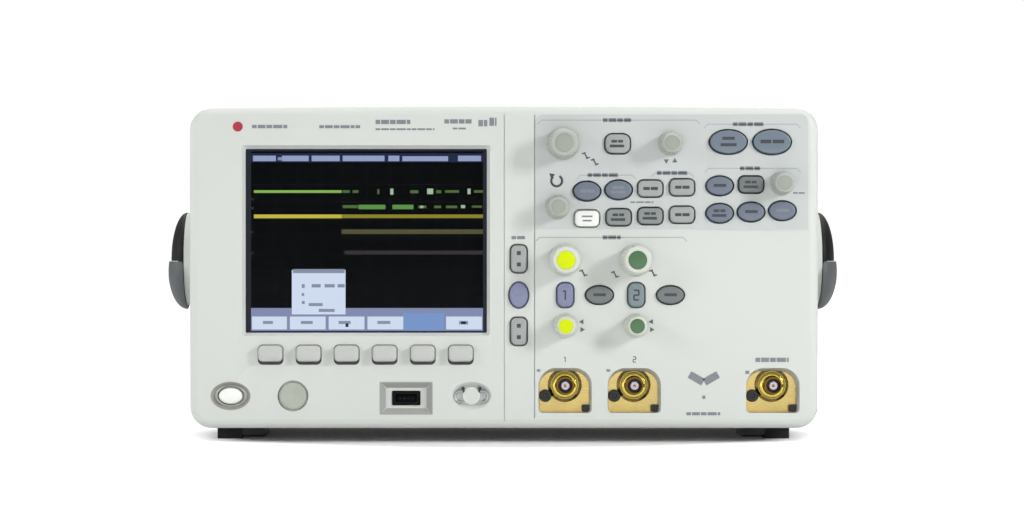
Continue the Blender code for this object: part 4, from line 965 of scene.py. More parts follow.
@dataclass
class Bezel:
    """The front moulding, with its tray, recesses and the thin joints between its areas.

    Bosses stand behind the face, from in_wall backwards, and cuts open it, some to past its back.
    """

    wall: float = 3 * MM
    corner: float = 12 * MM
    edge: float = 5.5 * MM
    crown: float = 1.1 * MM
    key_gap: float = 0.95 * MM
    softkey_gap: float = 0.45 * MM
    softkey_drop: float = 1.5 * MM
    # front and back of the painted-shadow sheet behind the softkeys, behind the face
    mat: tuple = mm(2.1, 2.9)
    tray_corner: float = 9 * MM
    tray_depth: float = 1.7 * MM
    tray_slope: float = 6 * MM
    tray: tuple = mm(-156.4, -0.6, 36.6, 171.6)
    sill_slope: float = 2.6 * MM
    sink: float = 5 * MM
    lap: float = 2.2 * MM
    shaft_hole: tuple = mm(8.4, 8.4)
    probe_hole: tuple = mm(10.6, 10.6)
    dial_well: tuple = mm(17.4, 17.4)
    usb_frame: tuple = mm(30, 18.6)
    usb_mouth: tuple = mm(14, 6.6)
    dish_slope: float = 2.2 * MM
    dishes: tuple = (("power_key", 3.4 * MM, mm(22.6, 16.2)), ("probe_terminals", 3.2 * MM, mm(22.6, 16)))
    arch: tuple = mm(30.6, 25.8)
    arch_lift: float = -2.5 * MM
    arch_depth: float = 9 * MM
    arch_lean: float = 4 * MM
    arch_share: tuple = (0.9, 0.88)
    groove: float = 0.6 * MM
    field_area: tuple = mm(17.6, 171, 119.9, 184.5)
    in_wall: float = FACE + 2.5 * MM
    past: float = FACE + 5 * MM
    bosses: list = field(default_factory=list)
    cuts: list = field(default_factory=list)

    def shell(self) -> Mesh:
        """Makes the closed moulding, slightly crowned along its top, and hollows it from behind.

        Returns:
            The new mesh.
        """
        centre = (BASE + TOP) / 2
        bm = slab(0, centre, (2 * HALF_W, TOP - BASE), FACE, BEZEL_BACK, self.corner, segments=10)
        reach = HALF_W - self.corner
        top = [e for e in edges_along(bm, 0) if e.verts[0].co.z > TOP - NOTHING]
        bmesh.ops.subdivide_edges(bm, edges=top, cuts=21)
        for vert in bm.verts:
            if vert.co.z > TOP - NOTHING:
                vert.co.z += self.crown * (1 - (vert.co.x / reach) ** 2)
        round_edges(bm, edges_at(bm, 1, FACE), self.edge, 6)
        inner = (2 * (HALF_W - self.wall), TOP - BASE - 2 * self.wall)
        corner = self.corner - self.wall
        hollow = slab(0, centre, inner, FACE + self.wall, BEZEL_BACK + 2 * MM, corner, segments=8)
        return carved(bm, [hollow])

    def recess(
        self, x: float, z: float, size: tuple, depth: float, slope: float, make: Outliner, lead: float = 2 * MM
    ) -> Mesh:
        """Makes a tool for a recess with sloping sides.

        Args:
            x, z: its middle.
            size: its width and height at the surface.
            depth: how deep it goes.
            slope: how far its sides come in on the way down.
            make: the maker of its outline, called with x, z, size, front and back.
            lead: how far the tool stands in front of the surface.

        Returns:
            The tool.
        """
        grow = 2 * slope * lead / depth
        wide = (size[0] + grow, size[1] + grow)
        narrow = (size[0] - 2 * slope, size[1] - 2 * slope)
        bm = make(x, z, wide, FACE - lead, FACE + depth)
        return tapered(bm, FACE + depth, x, z, (narrow[0] / wide[0], narrow[1] / wide[1]))

    def open_screen(self) -> None:
        """Sinks the tray round the screen, and opens the sloping frame and the pocket that hold the window."""
        x0, x1, z0, z1 = self.tray
        size = (x1 - x0, z1 - z0)
        outline = rounded(self.tray_corner)
        self.cuts.append(self.recess((x0 + x1) / 2, (z0 + z1) / 2, size, self.tray_depth, self.tray_slope, outline))
        low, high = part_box("screen_window")
        pane = middle("screen_window")
        size, back = (high.x - low.x, high.z - low.z), high.y + 2 * MM
        view = tuple(v - 2 * self.lap for v in size)
        self.bosses.append(slab(pane.x, pane.z, (view[0] + 13 * MM, view[1] + 9 * MM), self.in_wall, high.y + 0.3 * MM))
        sill = tuple(v + 2 * self.sill_slope for v in view)
        self.cuts.append(self.recess(pane.x, pane.z, sill, self.sink, self.sill_slope, rounded(1.6 * MM)))
        self.cuts.append(slab(pane.x, pane.z, view, FACE, back, 0.8 * MM))
        self.cuts.append(slab(pane.x, pane.z, tuple(v + 0.6 * MM for v in size), FACE + self.sink, back))

    def open_controls(self) -> None:
        """Opens the holes for the keys and the knobs' shafts."""
        self.cuts += [self.key_hole(key) for key in KEYS]
        deep = FACE + 2 * self.wall
        self.cuts += [key.outlined(FACE - 4 * MM, deep, self.softkey_gap, self.softkey_drop) for key in SOFTKEYS]
        for node, _ in Knobs.tops:
            place = middle(node)
            self.cuts.append(oval(place.x, place.z, self.shaft_hole, FACE - 2 * MM, self.past, 24))

    def open_lower_row(self) -> None:
        """Sinks the two oval dishes, the dial's well and the USB frame, and opens the holes in them."""
        for node, depth, mouth in self.dishes:
            place = middle(node)
            back = FACE + depth + self.wall
            self.bosses.append(oval(place.x, place.z, tuple(v + 6 * MM for v in mouth), self.in_wall, back))
            self.cuts.append(self.recess(place.x, place.z, mouth, depth, self.dish_slope, oval))
        place = middle("probe_terminals")
        self.cuts.append(oval(place.x, place.z, self.probe_hole, FACE, self.past + 4 * MM, 32))
        dial = middle("intensity_dial")
        self.bosses.append(oval(dial.x, dial.z, mm(22, 22), self.in_wall, FACE + 7 * MM))
        self.cuts.append(self.recess(dial.x, dial.z, self.dial_well, 2 * MM, 0.5 * MM, oval, lead=0.9 * MM))
        self.cuts.append(oval(dial.x, dial.z, mm(8, 8), FACE, FACE + 9 * MM, 24))
        usb = middle("usb_port")
        self.bosses.append(slab(usb.x, usb.z, mm(36, 21.6), self.in_wall, FACE + 6.4 * MM))
        self.cuts.append(self.recess(usb.x, usb.z, self.usb_frame, 3.4 * MM, 3.6 * MM, rounded(2.2 * MM)))
        self.cuts.append(slab(usb.x, usb.z, self.usb_mouth, FACE, FACE + 9 * MM))

    def open_arches(self) -> None:
        """Sinks the arched recesses of the sockets, open behind for their shield."""
        for node in SOCKET_NODES:
            place = middle(node)
            z = place.z + self.arch_lift
            back = FACE + self.arch_depth
            rim = tuple(v + 4 * MM for v in self.arch)
            self.bosses.append(slab(place.x, z, rim, self.in_wall, back, *mm(12, 4), 10))
            arch = slab(place.x, z, self.arch, FACE - 2 * MM, back + 2 * MM, *mm(10, 2.4), 10)
            foot = z - self.arch[1] / 2
            self.cuts.append(tapered(arch, back + 2 * MM, place.x - self.arch_lean, foot, self.arch_share))

    def grooves(self) -> list:
        """Makes the tools for the fine joints between the display side, the strip and the panel.

        Returns:
            The tools.
        """
        half, depth = self.groove / 2, FACE + 0.5 * MM
        front = FACE - 8 * MM
        return [
            block(0.2 * MM - half, 0.2 * MM + half, front, depth, BASE - 1 * MM, TOP + 3 * MM),
            block(17.2 * MM - half, 17.2 * MM + half, front, depth + 0.4 * MM, 14 * MM, 184 * MM),
            block(100 * MM, 168 * MM, front, depth - 0.25 * MM, 119.3 * MM, 119.8 * MM),
        ]

    def key_hole(self, key: Key) -> Mesh:
        """Makes the tool for one key's hole."""
        gap = self.softkey_gap if key in SOFTKEYS else self.key_gap
        return key.outlined(FACE - 4 * MM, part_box(key.node)[1].y, gap)

    def overlay(self) -> None:
        """Makes the thin grey overlay behind the upper controls; its grey is made darker as painted shade of the face's
        darker top.
        """
        x0, x1, z0, z1 = self.field_area
        sheet = slab((x0 + x1) / 2, (z0 + z1) / 2, (x1 - x0, z1 - z0), FACE - 0.05 * MM, FACE + 0.3 * MM, 4 * MM, 0.0)
        holes = [self.key_hole(key) for key in KEYS if middle(key.node).x > x0 and middle(key.node).z > z0]
        for node, _ in Knobs.tops:
            place = middle(node)
            if place.z > z0:
                holes.append(oval(place.x, place.z, self.shaft_hole, FACE - 2 * MM, FACE + 2 * MM, 24))
        add_piece("control_field_shaded", carved(sheet, holes), FIELD_SHADED)

    def softkey_mat(self) -> None:
        """Makes the dark sheet behind the keys under the screen, a painted shadow that shows in the gaps below them."""
        first, last = middle(SOFTKEYS[0].node), middle(SOFTKEYS[-1].node)
        size = (last.x - first.x + 18 * MM, 14.4 * MM)
        front, back = (FACE + depth for depth in self.mat)
        # the dark sheet is painted shadow under the softkeys
        mat = slab((first.x + last.x) / 2, first.z - 0.4 * MM, size, front, back)
        holes = [key.outlined(front - 1 * MM, back + 1 * MM, 0.3 * MM) for key in SOFTKEYS]
        add_piece("softkey_mat", carved(mat, holes), SOFTKEY_SHADOW)

    def build(self) -> None:
        """Makes the bezel."""
        self.overlay()
        self.softkey_mat()
        self.open_screen()
        self.open_controls()
        self.open_lower_row()
        self.open_arches()
        bm = carved(carved(self.shell(), self.bosses, Cut.ON), self.cuts + self.grooves())
        add_piece("bezel_moulding", bm, SHELL, stands_for=("front_bezel",))


@dataclass
class Screen:
    """The window, the dark rim round the picture, and the picture itself.

    The picture is a stack of sheets, each of one colour, given in millimetres from the window's middle.
    """

    sheets: tuple = (
        (PICTURE_BLACK, ((-65.1, 65.8, -50.8, 50.6),)),
        (Glow("picture_navy", "window_glass", "232c48"), ((-65.1, 65.8, 44.4, 49.5),)),
        (Glow("picture_mist", "window_glass", "97a6cc"), (
            (-64, -51.1, 45, 48.1), (-47.7, -32.6, 45, 48.1), (-30.9, -15.1, 45, 48.1), (-13.4, 10.2, 45, 48.1),
            (12.4, 18.6, 45, 48.1), (20.3, 46.1, 45, 47.8), (51.7, 64.7, 45, 48.1),
        )),
        (Glow("picture_slate", "window_glass", "8790b4"), ((-65.1, 65.8, -50.8, -37.9),)),
        (Glow("picture_blue", "window_glass", "7c9bd0"), ((20.8, 43.9, -50.3, -40.7),)),
        (Glow("picture_pale", "window_glass", "d7e3f8"), (
            (-64.6, -44.9, -50, -42.7), (-43.2, -23, -50, -42.7), (-21.3, -1.1, -50, -42.7),
            (0.6, 20.8, -50, -42.7), (45, 65.2, -50, -42.7), (-42.1, -11.8, -41.5, -16.5),
        )),
        (Glow("picture_grey", "window_glass", "8b94ac"), (
            (-41.5, -12.3, -18.2, -15.9), (-30.9, -25.8, -26.3, -24.4), (-23.6, -17.9, -26.3, -24.4),
            (-16.3, -12.3, -26.3, -24.4), (-36.5, -34.8, -26.6, -24.4), (-36.5, -35.1, -31.1, -29.4),
            (-36.5, -34.8, -35.6, -33.9), (-32.6, -24.7, -36.8, -35.1), (-26.9, -17.9, -40.1, -38.4),
            (-58.4, -52.8, -46.9, -45.2), (-37, -30.3, -46.9, -45.2), (-15.7, -8.9, -46.9, -45.2),
            (6.2, 13.5, -46.9, -45.2), (-50, -47.7, 45.5, 47.2), (52.3, 57.4, -47.2, -45.2),
        )),
        (Glow("picture_ink", "window_glass", "20283a"), ((53.4, 56.2, -46.9, -45.5), (-11.8, -10.1, -48.6, -46.6))),
        (Glow("picture_leaf", "window_glass", "8dbb5c"), ((-63.5, -14, 27.1, 28.6),)),
        (Glow("picture_moss", "window_glass", "53713f"), (
            (-13.4, -9.5, 27.1, 28.6), (-7.8, -4.5, 27.1, 28.6), (6.2, 7.3, 26.4, 29.2), (24.8, 29.3, 26.9, 28.6),
            (39.4, 42.2, 26.9, 28.6), (44.4, 52.3, 27.2, 28.6), (60.7, 65.8, 27.2, 28.6), (-13.4, -5, 18.5, 20.2),
            (29.3, 33.8, 18.5, 19.9), (38.3, 42.2, 18.5, 19.9), (45, 51.2, 18.5, 19.9), (59.6, 65.2, 18.8, 19.9),
        )),
        (Glow("picture_mint", "window_glass", "a9c3a4"), (
            (13.5, 15.2, 26.1, 29.5), (34.3, 37.7, 26.4, 29.5), (57.1, 58.8, 26.4, 29.5), (53.4, 55.7, 18.5, 20.2),
            (30.4, 32.1, 18.5, 19.9),
        )),
        (Glow("picture_green", "window_glass", "5f984c"), ((-4.5, 10.7, 17.9, 20.4), (14.7, 26.5, 17.9, 20.4))),
        (Glow("picture_yellow", "window_glass", "cbbf45"), ((-63.5, -14, 12.8, 14.9),)),
        (Glow("picture_mustard", "window_glass", "8f8a2c"), ((-14, 65.8, 12.9, 14.9),)),
        (Glow("picture_olive", "window_glass", "56553a"), ((-14, 65.8, 3.9, 6.5),)),
        (Glow("picture_soot", "window_glass", "37353a"), (
            (-65.1, -63.5, 23, 24.1), (-65.1, -63.5, 17.9, 19), (-65.1, -63.5, 4.4, 5.5),
            (-65.1, -63.5, -7.5, -6.3), (-12.3, 65.8, -7.7, -5.5),
        )),
    )
    sheet_depth: float = 0.08 * MM
    sheet_step: float = 0.02 * MM
    division: tuple = (10, 8)
    grid: tuple = (-64.6, 65.2, -36.8, 41.6)
    line: float = 0.34

    def sheet(self, boxes: tuple, y: float) -> Mesh:
        """Makes one sheet of the picture from thin plates.

        Args:
            boxes: each plate's x and z limits, in millimetres from the window's middle.
            y: where their fronts lie.

        Returns:
            The new mesh.
        """
        pane = middle("screen_window")
        back = y + self.sheet_depth
        return joined([
            block(pane.x + x0, pane.x + x1, y, back, pane.z + z0, pane.z + z1)
            for x0, x1, z0, z1 in (mm(*box) for box in boxes)
        ])

    def build(self) -> None:
        """Makes the window, the rim and every sheet of the picture."""
        low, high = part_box("screen_window")
        pane = middle("screen_window")
        size = (high.x - low.x, high.z - low.z)
        window = slab(pane.x, pane.z, size, low.y, high.y, 0.6 * MM)
        round_edges(window, edges_at(window, 1, low.y), 0.3 * MM, 2)
        add_piece("window_pane", window, GLASS, stands_for=("screen_window",))
        back = high.y + 0.5 * MM
        rim = slab(pane.x, pane.z, size, back - 0.1 * MM, back, 0.5 * MM)
        add_piece("picture_rim", rim, PICTURE_RIM)
        y = back - 0.14 * MM
        for finish, boxes in (self.sheets[0], self.graticule(), *self.sheets[1:]):
            add_piece(finish.name, self.sheet(boxes, y), finish)
            y -= self.sheet_step

    def graticule(self) -> tuple[Finish, tuple]:
        """Lays out the faint measuring grid behind the traces.

        Returns:
            Its finish, and its boxes.
        """
        columns, rows = self.division
        left, right, low, high = self.grid
        half = self.line / 2
        lines = []
        for i in range(1, columns):
            x = left + (right - left) * i / columns
            lines.append((x - half, x + half, low, high))
        for i in range(1, rows):
            z = low + (high - low) * i / rows
            lines.append((left, right, z - half, z + half))
        return Glow("picture_grid", "window_glass", "17181d"), tuple(lines)


PRINT_FRONT, PRINT_BACK = FACE - 0.12 * MM, FACE + 0.2 * MM


def bar(x0: float, x1: float, z: float, thickness: float) -> Mesh:
    """Makes a printed bar on the face, from x0 to x1 about z, all in millimetres."""
    low, high = z - thickness / 2, z + thickness / 2
    return block(x0 * MM, x1 * MM, PRINT_FRONT, PRINT_BACK, low * MM, high * MM)


def words(x0: float, x1: float, z: float, thickness: float) -> list[Mesh]:
    """Makes a row of short printed bars in place of words.

    Args:
        x0, x1: where the row starts and ends, in millimetres.
        z: its middle height, in millimetres.
        thickness: the bars' height, in millimetres.

    Returns:
        The bars.
    """
    lengths, gap, least = (2.6, 4.4, 3.2, 5.2, 2.2), 0.55, 0.8
    parts, x = [], x0
    while x < x1 - least:
        end = min(x1, x + lengths[len(parts) % len(lengths)])
        parts.append(bar(x, end, z, thickness))
        x = end + gap
    return parts


def leaning(x: float, z: float, size: tuple, angle: float) -> Mesh:
    """Makes a leaning printed bar.

    Args:
        x, z: its middle, in millimetres.
        size: its length and thickness, in millimetres.
        angle: how far it is turned, in degrees.

    Returns:
        The new mesh.
    """
    bm = bar(-size[0] / 2, size[0] / 2, 0, size[1])
    turn = Matrix.Translation((x * MM, 0, z * MM)) @ Matrix.Rotation(math.radians(-angle), 4, "Y")
    bmesh.ops.transform(bm, matrix=turn, verts=bm.verts[:])
    return bm


def pointer(x: float, z: float, size: float, angle: float) -> Mesh:
    """Makes a printed triangle.

    Args:
        x, z: its middle, in millimetres.
        size: from its middle to its tips, in millimetres.
        angle: how far it is turned from pointing up, in degrees.

    Returns:
        The new mesh.
    """
    bm = bmesh.new()
    turn = Matrix.Rotation(math.radians(-angle), 4, "Y") @ Matrix.Rotation(math.pi / 2, 4, "X")
    place = Matrix.Translation((x * MM, FACE + 0.07 * MM, z * MM)) @ turn @ Matrix.Rotation(math.pi / 2, 4, "Z")
    radius = size * MM
    bmesh.ops.create_cone(bm, cap_ends=True, segments=3, radius1=radius, radius2=radius, depth=0.26 * MM, matrix=place)
    bmesh.ops.recalc_face_normals(bm, faces=bm.faces[:])
    return bm


@dataclass
class Prints:
    """What is printed on the face: group lines, plain bars for words, and small signs, in millimetres.

    A group line has x0, x1, z, and the x0, x1 of its label. A row of words has x0, x1, z and its height.
    """

    lines: tuple = (
        (21, 108, 181.3, 55.6, 71.4), (114.5, 164.5, 179, 128.7, 146.7), (115, 164.5, 154.2, 132.6, 144.4),
        (43, 72, 150.4, 47, 64), (85, 104.5, 151.6, 86, 103), (20, 100.6, 115.4, 55.5, 65.5),
    )
    words: tuple = (
        (162.5, 169, 140.4, 0.9), (141.4, 160, 46.6, 2.4), (102.5, 121.5, 16.3, 1.7), (4.2, 12.4, 115.3, 1.8),
        (71, 84, 135.2, 0.9), (18.4, 20.4, 40.6, 1.4), (57.6, 59.6, 40.6, 1.4), (135.6, 137.8, 39.6, 1.8),
    )
    header: tuple = (
        (-141.6, -120.5, 177.7, 1.9), (-103.8, -79.8, 177.6, 1.7), (-72.2, -52.6, 180.3, 2.4),
        (-72.2, -39, 176.2, 1.0), (-33.5, -18.2, 180.6, 2.4), (-28.8, -21.4, 176.6, 1.0),
        (-14.4, -9.4, 179.6, 3.6), (-8.2, -4.2, 180.4, 4.6),
    )
    waves: tuple = ((46, 161.4), (51, 157.8), (44.6, 95.4), (62.4, 94.6), (83.8, 95.4))
    arrows: tuple = (("channel_1_position_knob", 9.4), ("channel_2_position_knob", 8.6))

    def brackets(self) -> Mesh:
        """Makes the group lines, with their ends turned down.

        Returns:
            The new mesh.
        """
        parts = []
        for x0, x1, z, _, _ in self.lines:
            parts.append(bar(x0, x1, z, 0.55))
            parts.append(leaning(x0 - 1.1, z - 1.1, (3.2, 0.5), 45))
            parts.append(leaning(x1 + 1.1, z - 1.1, (3.2, 0.5), -45))
        return joined(parts)

    def signs(self) -> Mesh:
        """Makes the small signs beside the knobs.

        Returns:
            The new mesh.
        """
        parts = []
        for node, side in self.arrows:
            place = middle(node) / MM
            parts.append(pointer(place.x + side, place.z + 2.2, 1.7, 0))
            parts.append(pointer(place.x + side, place.z - 2.2, 1.7, 180))
        sweep = middle("sweep_position_knob") / MM
        parts.append(pointer(sweep.x - 2.4, sweep.z - 9.6, 1.7, 90))
        parts.append(pointer(sweep.x + 2.4, sweep.z - 9.6, 1.7, -90))
        for x, z in self.waves:
            parts.append(leaning(x - 1.2, z + 1.3, (2.2, 0.8), 20))
            parts.append(leaning(x, z, (3.2, 0.8), -62))
            parts.append(leaning(x + 1.2, z - 1.3, (2.2, 0.8), 20))
        return joined(parts)

    def caution(self) -> Mesh:
        """Makes the plain sign between the sockets: two leaning bars over a dot."""
        bars = [leaning(112.3 + side * 4.2, 36.2, (8.8, 4.2), side * 30) for side in (-1, 1)]
        return joined([*bars, bar(111.4, 113.2, 25.6, 1.8)])

    def turn_sign(self) -> Mesh:
        """Makes the open ring above the entry knob, with its pointer.

        Returns:
            The new mesh.
        """
        bm = block(2.4 * MM, 3.7 * MM, PRINT_FRONT, PRINT_BACK, -0.01 * MM, 0.01 * MM)
        end = face_at(bm, 2, 0.01 * MM)
        bmesh.ops.spin(
            bm, geom=end, cent=(0, 0, 0), axis=(0, 1, 0), angle=math.radians(290), steps=28, use_duplicate=False
        )
        bmesh.ops.recalc_face_normals(bm, faces=bm.faces[:])
        turn = Matrix.Translation((29.6 * MM, 0, 147.2 * MM)) @ Matrix.Rotation(math.radians(-60), 4, "Y")
        bmesh.ops.transform(bm, matrix=turn, verts=bm.verts[:])
        return joined([bm, pointer(26.9, 150.2, 2.0, -40)])

    def build(self) -> None:
        """Makes the prints."""
        add_piece("print_group_lines", self.brackets(), INK_PALE)
        labels = [(x0, x1, z, 2.2) for _, _, z, x0, x1 in self.lines]
        rows = [part for row in (*labels, *self.words) for part in words(*row)]
        add_piece("print_group_labels", joined(rows), INK)
        add_piece("print_header", joined([part for row in self.header for part in words(*row)]), INK)
        add_piece("print_signs", self.signs(), INK_SIGN)
        add_piece("print_caution", self.caution(), INK)
        add_piece("print_turn_sign", self.turn_sign(), INK_DARK)
        mark = oval(*mm(-149.6, 177.7), mm(5.6, 5.6), PRINT_FRONT, PRINT_BACK)
        add_piece("print_red_dot", mark, INK_RED)
        for number, node in enumerate(SOCKET_NODES[:2], 1):
            add_digit(f"print_input_{number}", number, middle(node).x, 46.8 * MM, FACE, 3 * MM, INK_DARK)


# ---- sockets and the lower row ----


@dataclass
class Sockets:
    """The three coaxial bayonet sockets on their gold shield, with the probe contact beside each."""

    barrel: float = 4.85 * MM
    bore: float = 4.05 * MM
    nut_hole: float = 5.6 * MM
    lug_at: float = 3.6 * MM
    # x, z, width and height of a black block in the arch's lower right corner: painted shade
    corner_shade_box: tuple = mm(12.2, -13, 5.4, 4)
    contact_at: tuple = mm(-11, -6)

    def turnings(self, tip: float) -> tuple:
        """Gives the small turned parts of a socket.

        Args:
            tip: where the front of its barrel lies.

        Returns:
            For each part its name, finish, facets and profile.
        """
        bore, wall = self.bore - 0.02 * MM, self.bore - 0.25 * MM
        return (
            ("insulator", INSULATOR, 36, [
                *points(FACE, (0, 8), (2.35, 8)),
                *points(tip, (2.35, 1.3), (2.1, 1), (0.8, 1), (0.8, 3), (0, 3)),
            ]),
            ("contact", BRASS, 20, [
                *points(FACE, (0, 6), (0.65, 6)), *points(tip, (0.65, 1.4), (0.3, 1.2), (0.3, 2.4), (0, 2.4)),
            ]),
            # dark sheet in the gap round the insulator: painted shade
            ("liner", SOCKET_BORE_SHADE, 40, [
                (2.3 * MM, FACE + 7.9 * MM), (bore, FACE + 7.9 * MM), (bore, tip + 0.8 * MM), (wall, tip + 0.8 * MM),
                (wall, tip + 6 * MM), (2.3 * MM, tip + 6 * MM), (2.3 * MM, FACE + 7.9 * MM),
            ]),
        )

    def socket(self, node: str) -> None:
        """Makes one socket.

        Args:
            node: the CAD node that it stands for.
        """
        low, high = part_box(node)
        x, z = middle(node).x, middle(node).z
        tip, floor = low.y, FACE + 7.4 * MM
        flange = self.barrel + 0.7 * MM
        profile = [
            (0, FACE + 8 * MM), (self.bore, FACE + 8 * MM), (self.bore, tip + 0.5 * MM), (self.bore + 0.2 * MM, tip),
            (self.barrel - 0.2 * MM, tip), (self.barrel, tip + 0.3 * MM), (self.barrel, FACE + 4.5 * MM),
            (flange, FACE + 5 * MM), (flange, floor - 0.6 * MM), *points(floor, (7.4, -0.4), (7.6, 0)),
            *points(FACE, (7.6, 9), (6, 9)), (6 * MM, high.y), (0, high.y),
        ]
        body = turned(profile, x, z, 56)
        y = tip + self.lug_at
        lugs = [rod(1 * MM, (x + s * 4.4 * MM, y, z), (x + s * 5.9 * MM, y, z), 20) for s in (-1, 1)]
        # the barrel's darker gold is painted shade
        add_piece(f"{node}_barrel", joined([body, *lugs]), BRASS_SHADED, stands_for=(node,))
        for name, finish, steps, outline in self.turnings(tip):
            add_piece(f"{node}_{name}", turned(outline, x, z, steps), finish)
        # black block in the arch's lower right corner: painted shade
        across, up, *size = self.corner_shade_box
        corner_shade_box = slab(x + across, z + up, size, FACE + 6.4 * MM, FACE + 9.2 * MM, 1 * MM)
        add_piece(f"{node}_corner_stop", corner_shade_box, BLACK)
        nut = turned(points(FACE, (0, 6.9), (7.1, 6.9), (7.1, 6.2), (6.6, 5.8), (5.9, 5.6), (0, 5.6)), x, z)
        hole = rod(self.nut_hole, (x, FACE + 3 * MM, z), (x, FACE + 9 * MM, z), 40)
        # the nut's brighter gold is a painted highlight
        add_piece(f"{node}_nut", carved(nut, [hole]), BRASS_HIGHLIGHT)
        cone = turned(points(FACE, (7, 9), (9.6, 9), (9.4, 8.7), (7.8, 7.3), (7, 7.3), (7, 9)), x, z, 56)
        add_piece(f"{node}_cone", cone, BRASS)
        seat = points(FACE + 9.3 * MM, (0, 0), (3.5, 0), (3.5, -2.2), (3.1, -2.6), (1.5, -2.6), (1.3, -1.6), (0, -1.6))
        contact = turned(seat, x + self.contact_at[0], z + self.contact_at[1], 36)
        add_piece(f"{node}_probe_contact", contact, BLACK)

    def build(self) -> None:
        """Makes the sockets, and dresses their shield."""
        for node in SOCKET_NODES:
            self.socket(node)
        dress(("input_shield",), BRASS)


def dress(nodes: tuple[str, ...], finish: Finish) -> None:
    """Gives a finish to CAD nodes that stay as they are.

    Args:
        nodes: their names.
        finish: the finish.
    """
    for name in nodes:
        node = frame["nodes"][name]
        if not node.material_slots:
            node.data.materials.append(None)
        for holder in node.material_slots:
            holder.material = finish.material()
        LOG.info("%s is dressed in %s", name, finish.name)


def funnel(mouth: tuple, floor: tuple, depth: float, skin: float, make: Outliner) -> Mesh:
    """Makes a thin skin over a recess's slopes, to carry a darker colour that is painted shade.

    Args:
        mouth: its x, z, width and height at the surface.
        floor: its width and height at the bottom.
        depth: how deep it goes.
        skin: its thickness.
        make: the maker of its outline, called with x, z, size, front and back.

    Returns:
        The skin.
    """
    x, z, width, height = mouth
    back = FACE + depth
    outer = make(x, z, (width, height), FACE - 0.02 * MM, back)
    tapered(outer, back, x, z, (floor[0] / width, floor[1] / height))
    size = (width - 2 * skin, height - 2 * skin)
    inner = make(x, z, size, FACE - 0.3 * MM, back + 0.3 * MM)
    tapered(inner, back + 0.3 * MM, x, z, ((floor[0] - 2 * skin) / size[0], (floor[1] - 2 * skin) / size[1]))
    return carved(outer, [inner])


@dataclass
class LowerRow:
    """The darker skins of painted shade on the slopes of the USB recess and the power dish, the USB mouth and the probe
    terminals.
    """

    frame: tuple = mm(29.9, 18.5)
    frame_floor: tuple = mm(22.4, 11.2)
    dish: tuple = mm(22.5, 16.1)
    dish_floor: tuple = mm(18, 11.8)
    # how deep the skins of painted shade reach
    shade_skin_depth: float = 3.3 * MM
    contact_pitch: float = 2.3 * MM
    loop: float = 3.1 * MM
    loop_at: float = 6.2 * MM
    wire: float = 0.75 * MM
    open_turn: float = 230

    def usb(self) -> None:
        """Makes the painted shade on the USB recess's slopes, a black ring of painted shade round the mouth, and the
        tongue in the mouth.
        """
        low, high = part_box("usb_port")
        usb = middle("usb_port")
        # darker skin on the recess's slopes: painted shade
        shade_skin = funnel((usb.x, usb.z, *self.frame), self.frame_floor, self.shade_skin_depth, 0.25 * MM, slab)
        add_piece("usb_recess_shade", shade_skin, RECESS_SHADE)
        # black ring round the mouth: painted shade
        shade_ring = slab(usb.x, usb.z, mm(16, 8.2), FACE + 2.9 * MM, FACE + 4 * MM, 0.6 * MM)
        mouth = slab(usb.x, usb.z, mm(12.3, 4.7), FACE, FACE + 9 * MM)
        add_piece("usb_mouth_shade_ring", carved(shade_ring, [mouth]), BLACK_AND_MOUTH_SHADE)
        tongue = slab(usb.x, usb.z + 0.6 * MM, mm(11, 1.8), low.y + 3.4 * MM, high.y - 4.2 * MM)
        add_piece("usb_tongue", tongue, BLACK_AND_MOUTH_SHADE)
        strips = [
            slab(usb.x + i * self.contact_pitch, usb.z - 0.36 * MM, mm(1.1, 0.14), low.y + 5.4 * MM, high.y - 4.3 * MM)
            for i in (-1.5, -0.5, 0.5, 1.5)
        ]
        add_piece("usb_contacts", joined(strips), BRASS)

    def terminals(self) -> None:
        """Makes the probe terminals: two wire loops in a moulded block, with a black patch beside each that is the
        painted shade of a slot.
        """
        place = middle("probe_terminals")
        front = FACE + 1.6 * MM
        moulding = oval(place.x, place.z, mm(10.4, 10.4), front, FACE + 6 * MM)
        round_edges(moulding, edges_at(moulding, 1, front), 0.7 * MM)
        add_piece("terminal_block", moulding, SHELL, stands_for=("probe_terminals",))
        turn = math.radians(self.open_turn)
        loops, slot_shades = [], []
        for side in (-1, 1):
            x = place.x + side * self.loop_at
            bm = bmesh.new()
            ring = Matrix.Translation((self.loop, 0, 0))
            bmesh.ops.create_circle(bm, cap_ends=True, segments=16, radius=self.wire, matrix=ring)
            bmesh.ops.spin(bm, geom=bm.faces[:], cent=(0, 0, 0), axis=(0, 1, 0), angle=turn, steps=28)
            bmesh.ops.recalc_face_normals(bm, faces=bm.faces[:])
            start = (1 + side) * math.pi / 2 + (math.tau - turn) / 2
            move = Matrix.Translation((x, FACE + 1.9 * MM, place.z - 0.4 * MM)) @ Matrix.Rotation(start, 4, "Y")
            bmesh.ops.transform(bm, matrix=move, verts=bm.verts[:])
            loops.append(bm)
            x, z = x - side * 1.5 * MM, place.z + 3.4 * MM
            # black block: painted shade of a slot
            slot_shades.append(slab(x, z, mm(1.7, 3), FACE + 1.4 * MM, FACE + 5 * MM, 0.5 * MM))
        add_piece("terminal_loops", joined(loops), STEEL)
        add_piece("terminal_slot_shades", joined(slot_shades), BLACK)

    def build(self) -> None:
        """Makes the small pieces, and dresses the port."""
        # the port's shell is dressed near black: painted shade
        dress(("usb_port",), PORT_SHADE_STEEL)
        self.usb()
        self.terminals()
        power = middle("power_key")
        # darker skin on the dish slopes round the power key: painted shade
        shade_skin = funnel((power.x, power.z, *self.dish), self.dish_floor, self.shade_skin_depth, 0.2 * MM, oval)
        add_piece("power_dish_shade", shade_skin, DISH_SHADE)


# ---- case, feet and handle ----


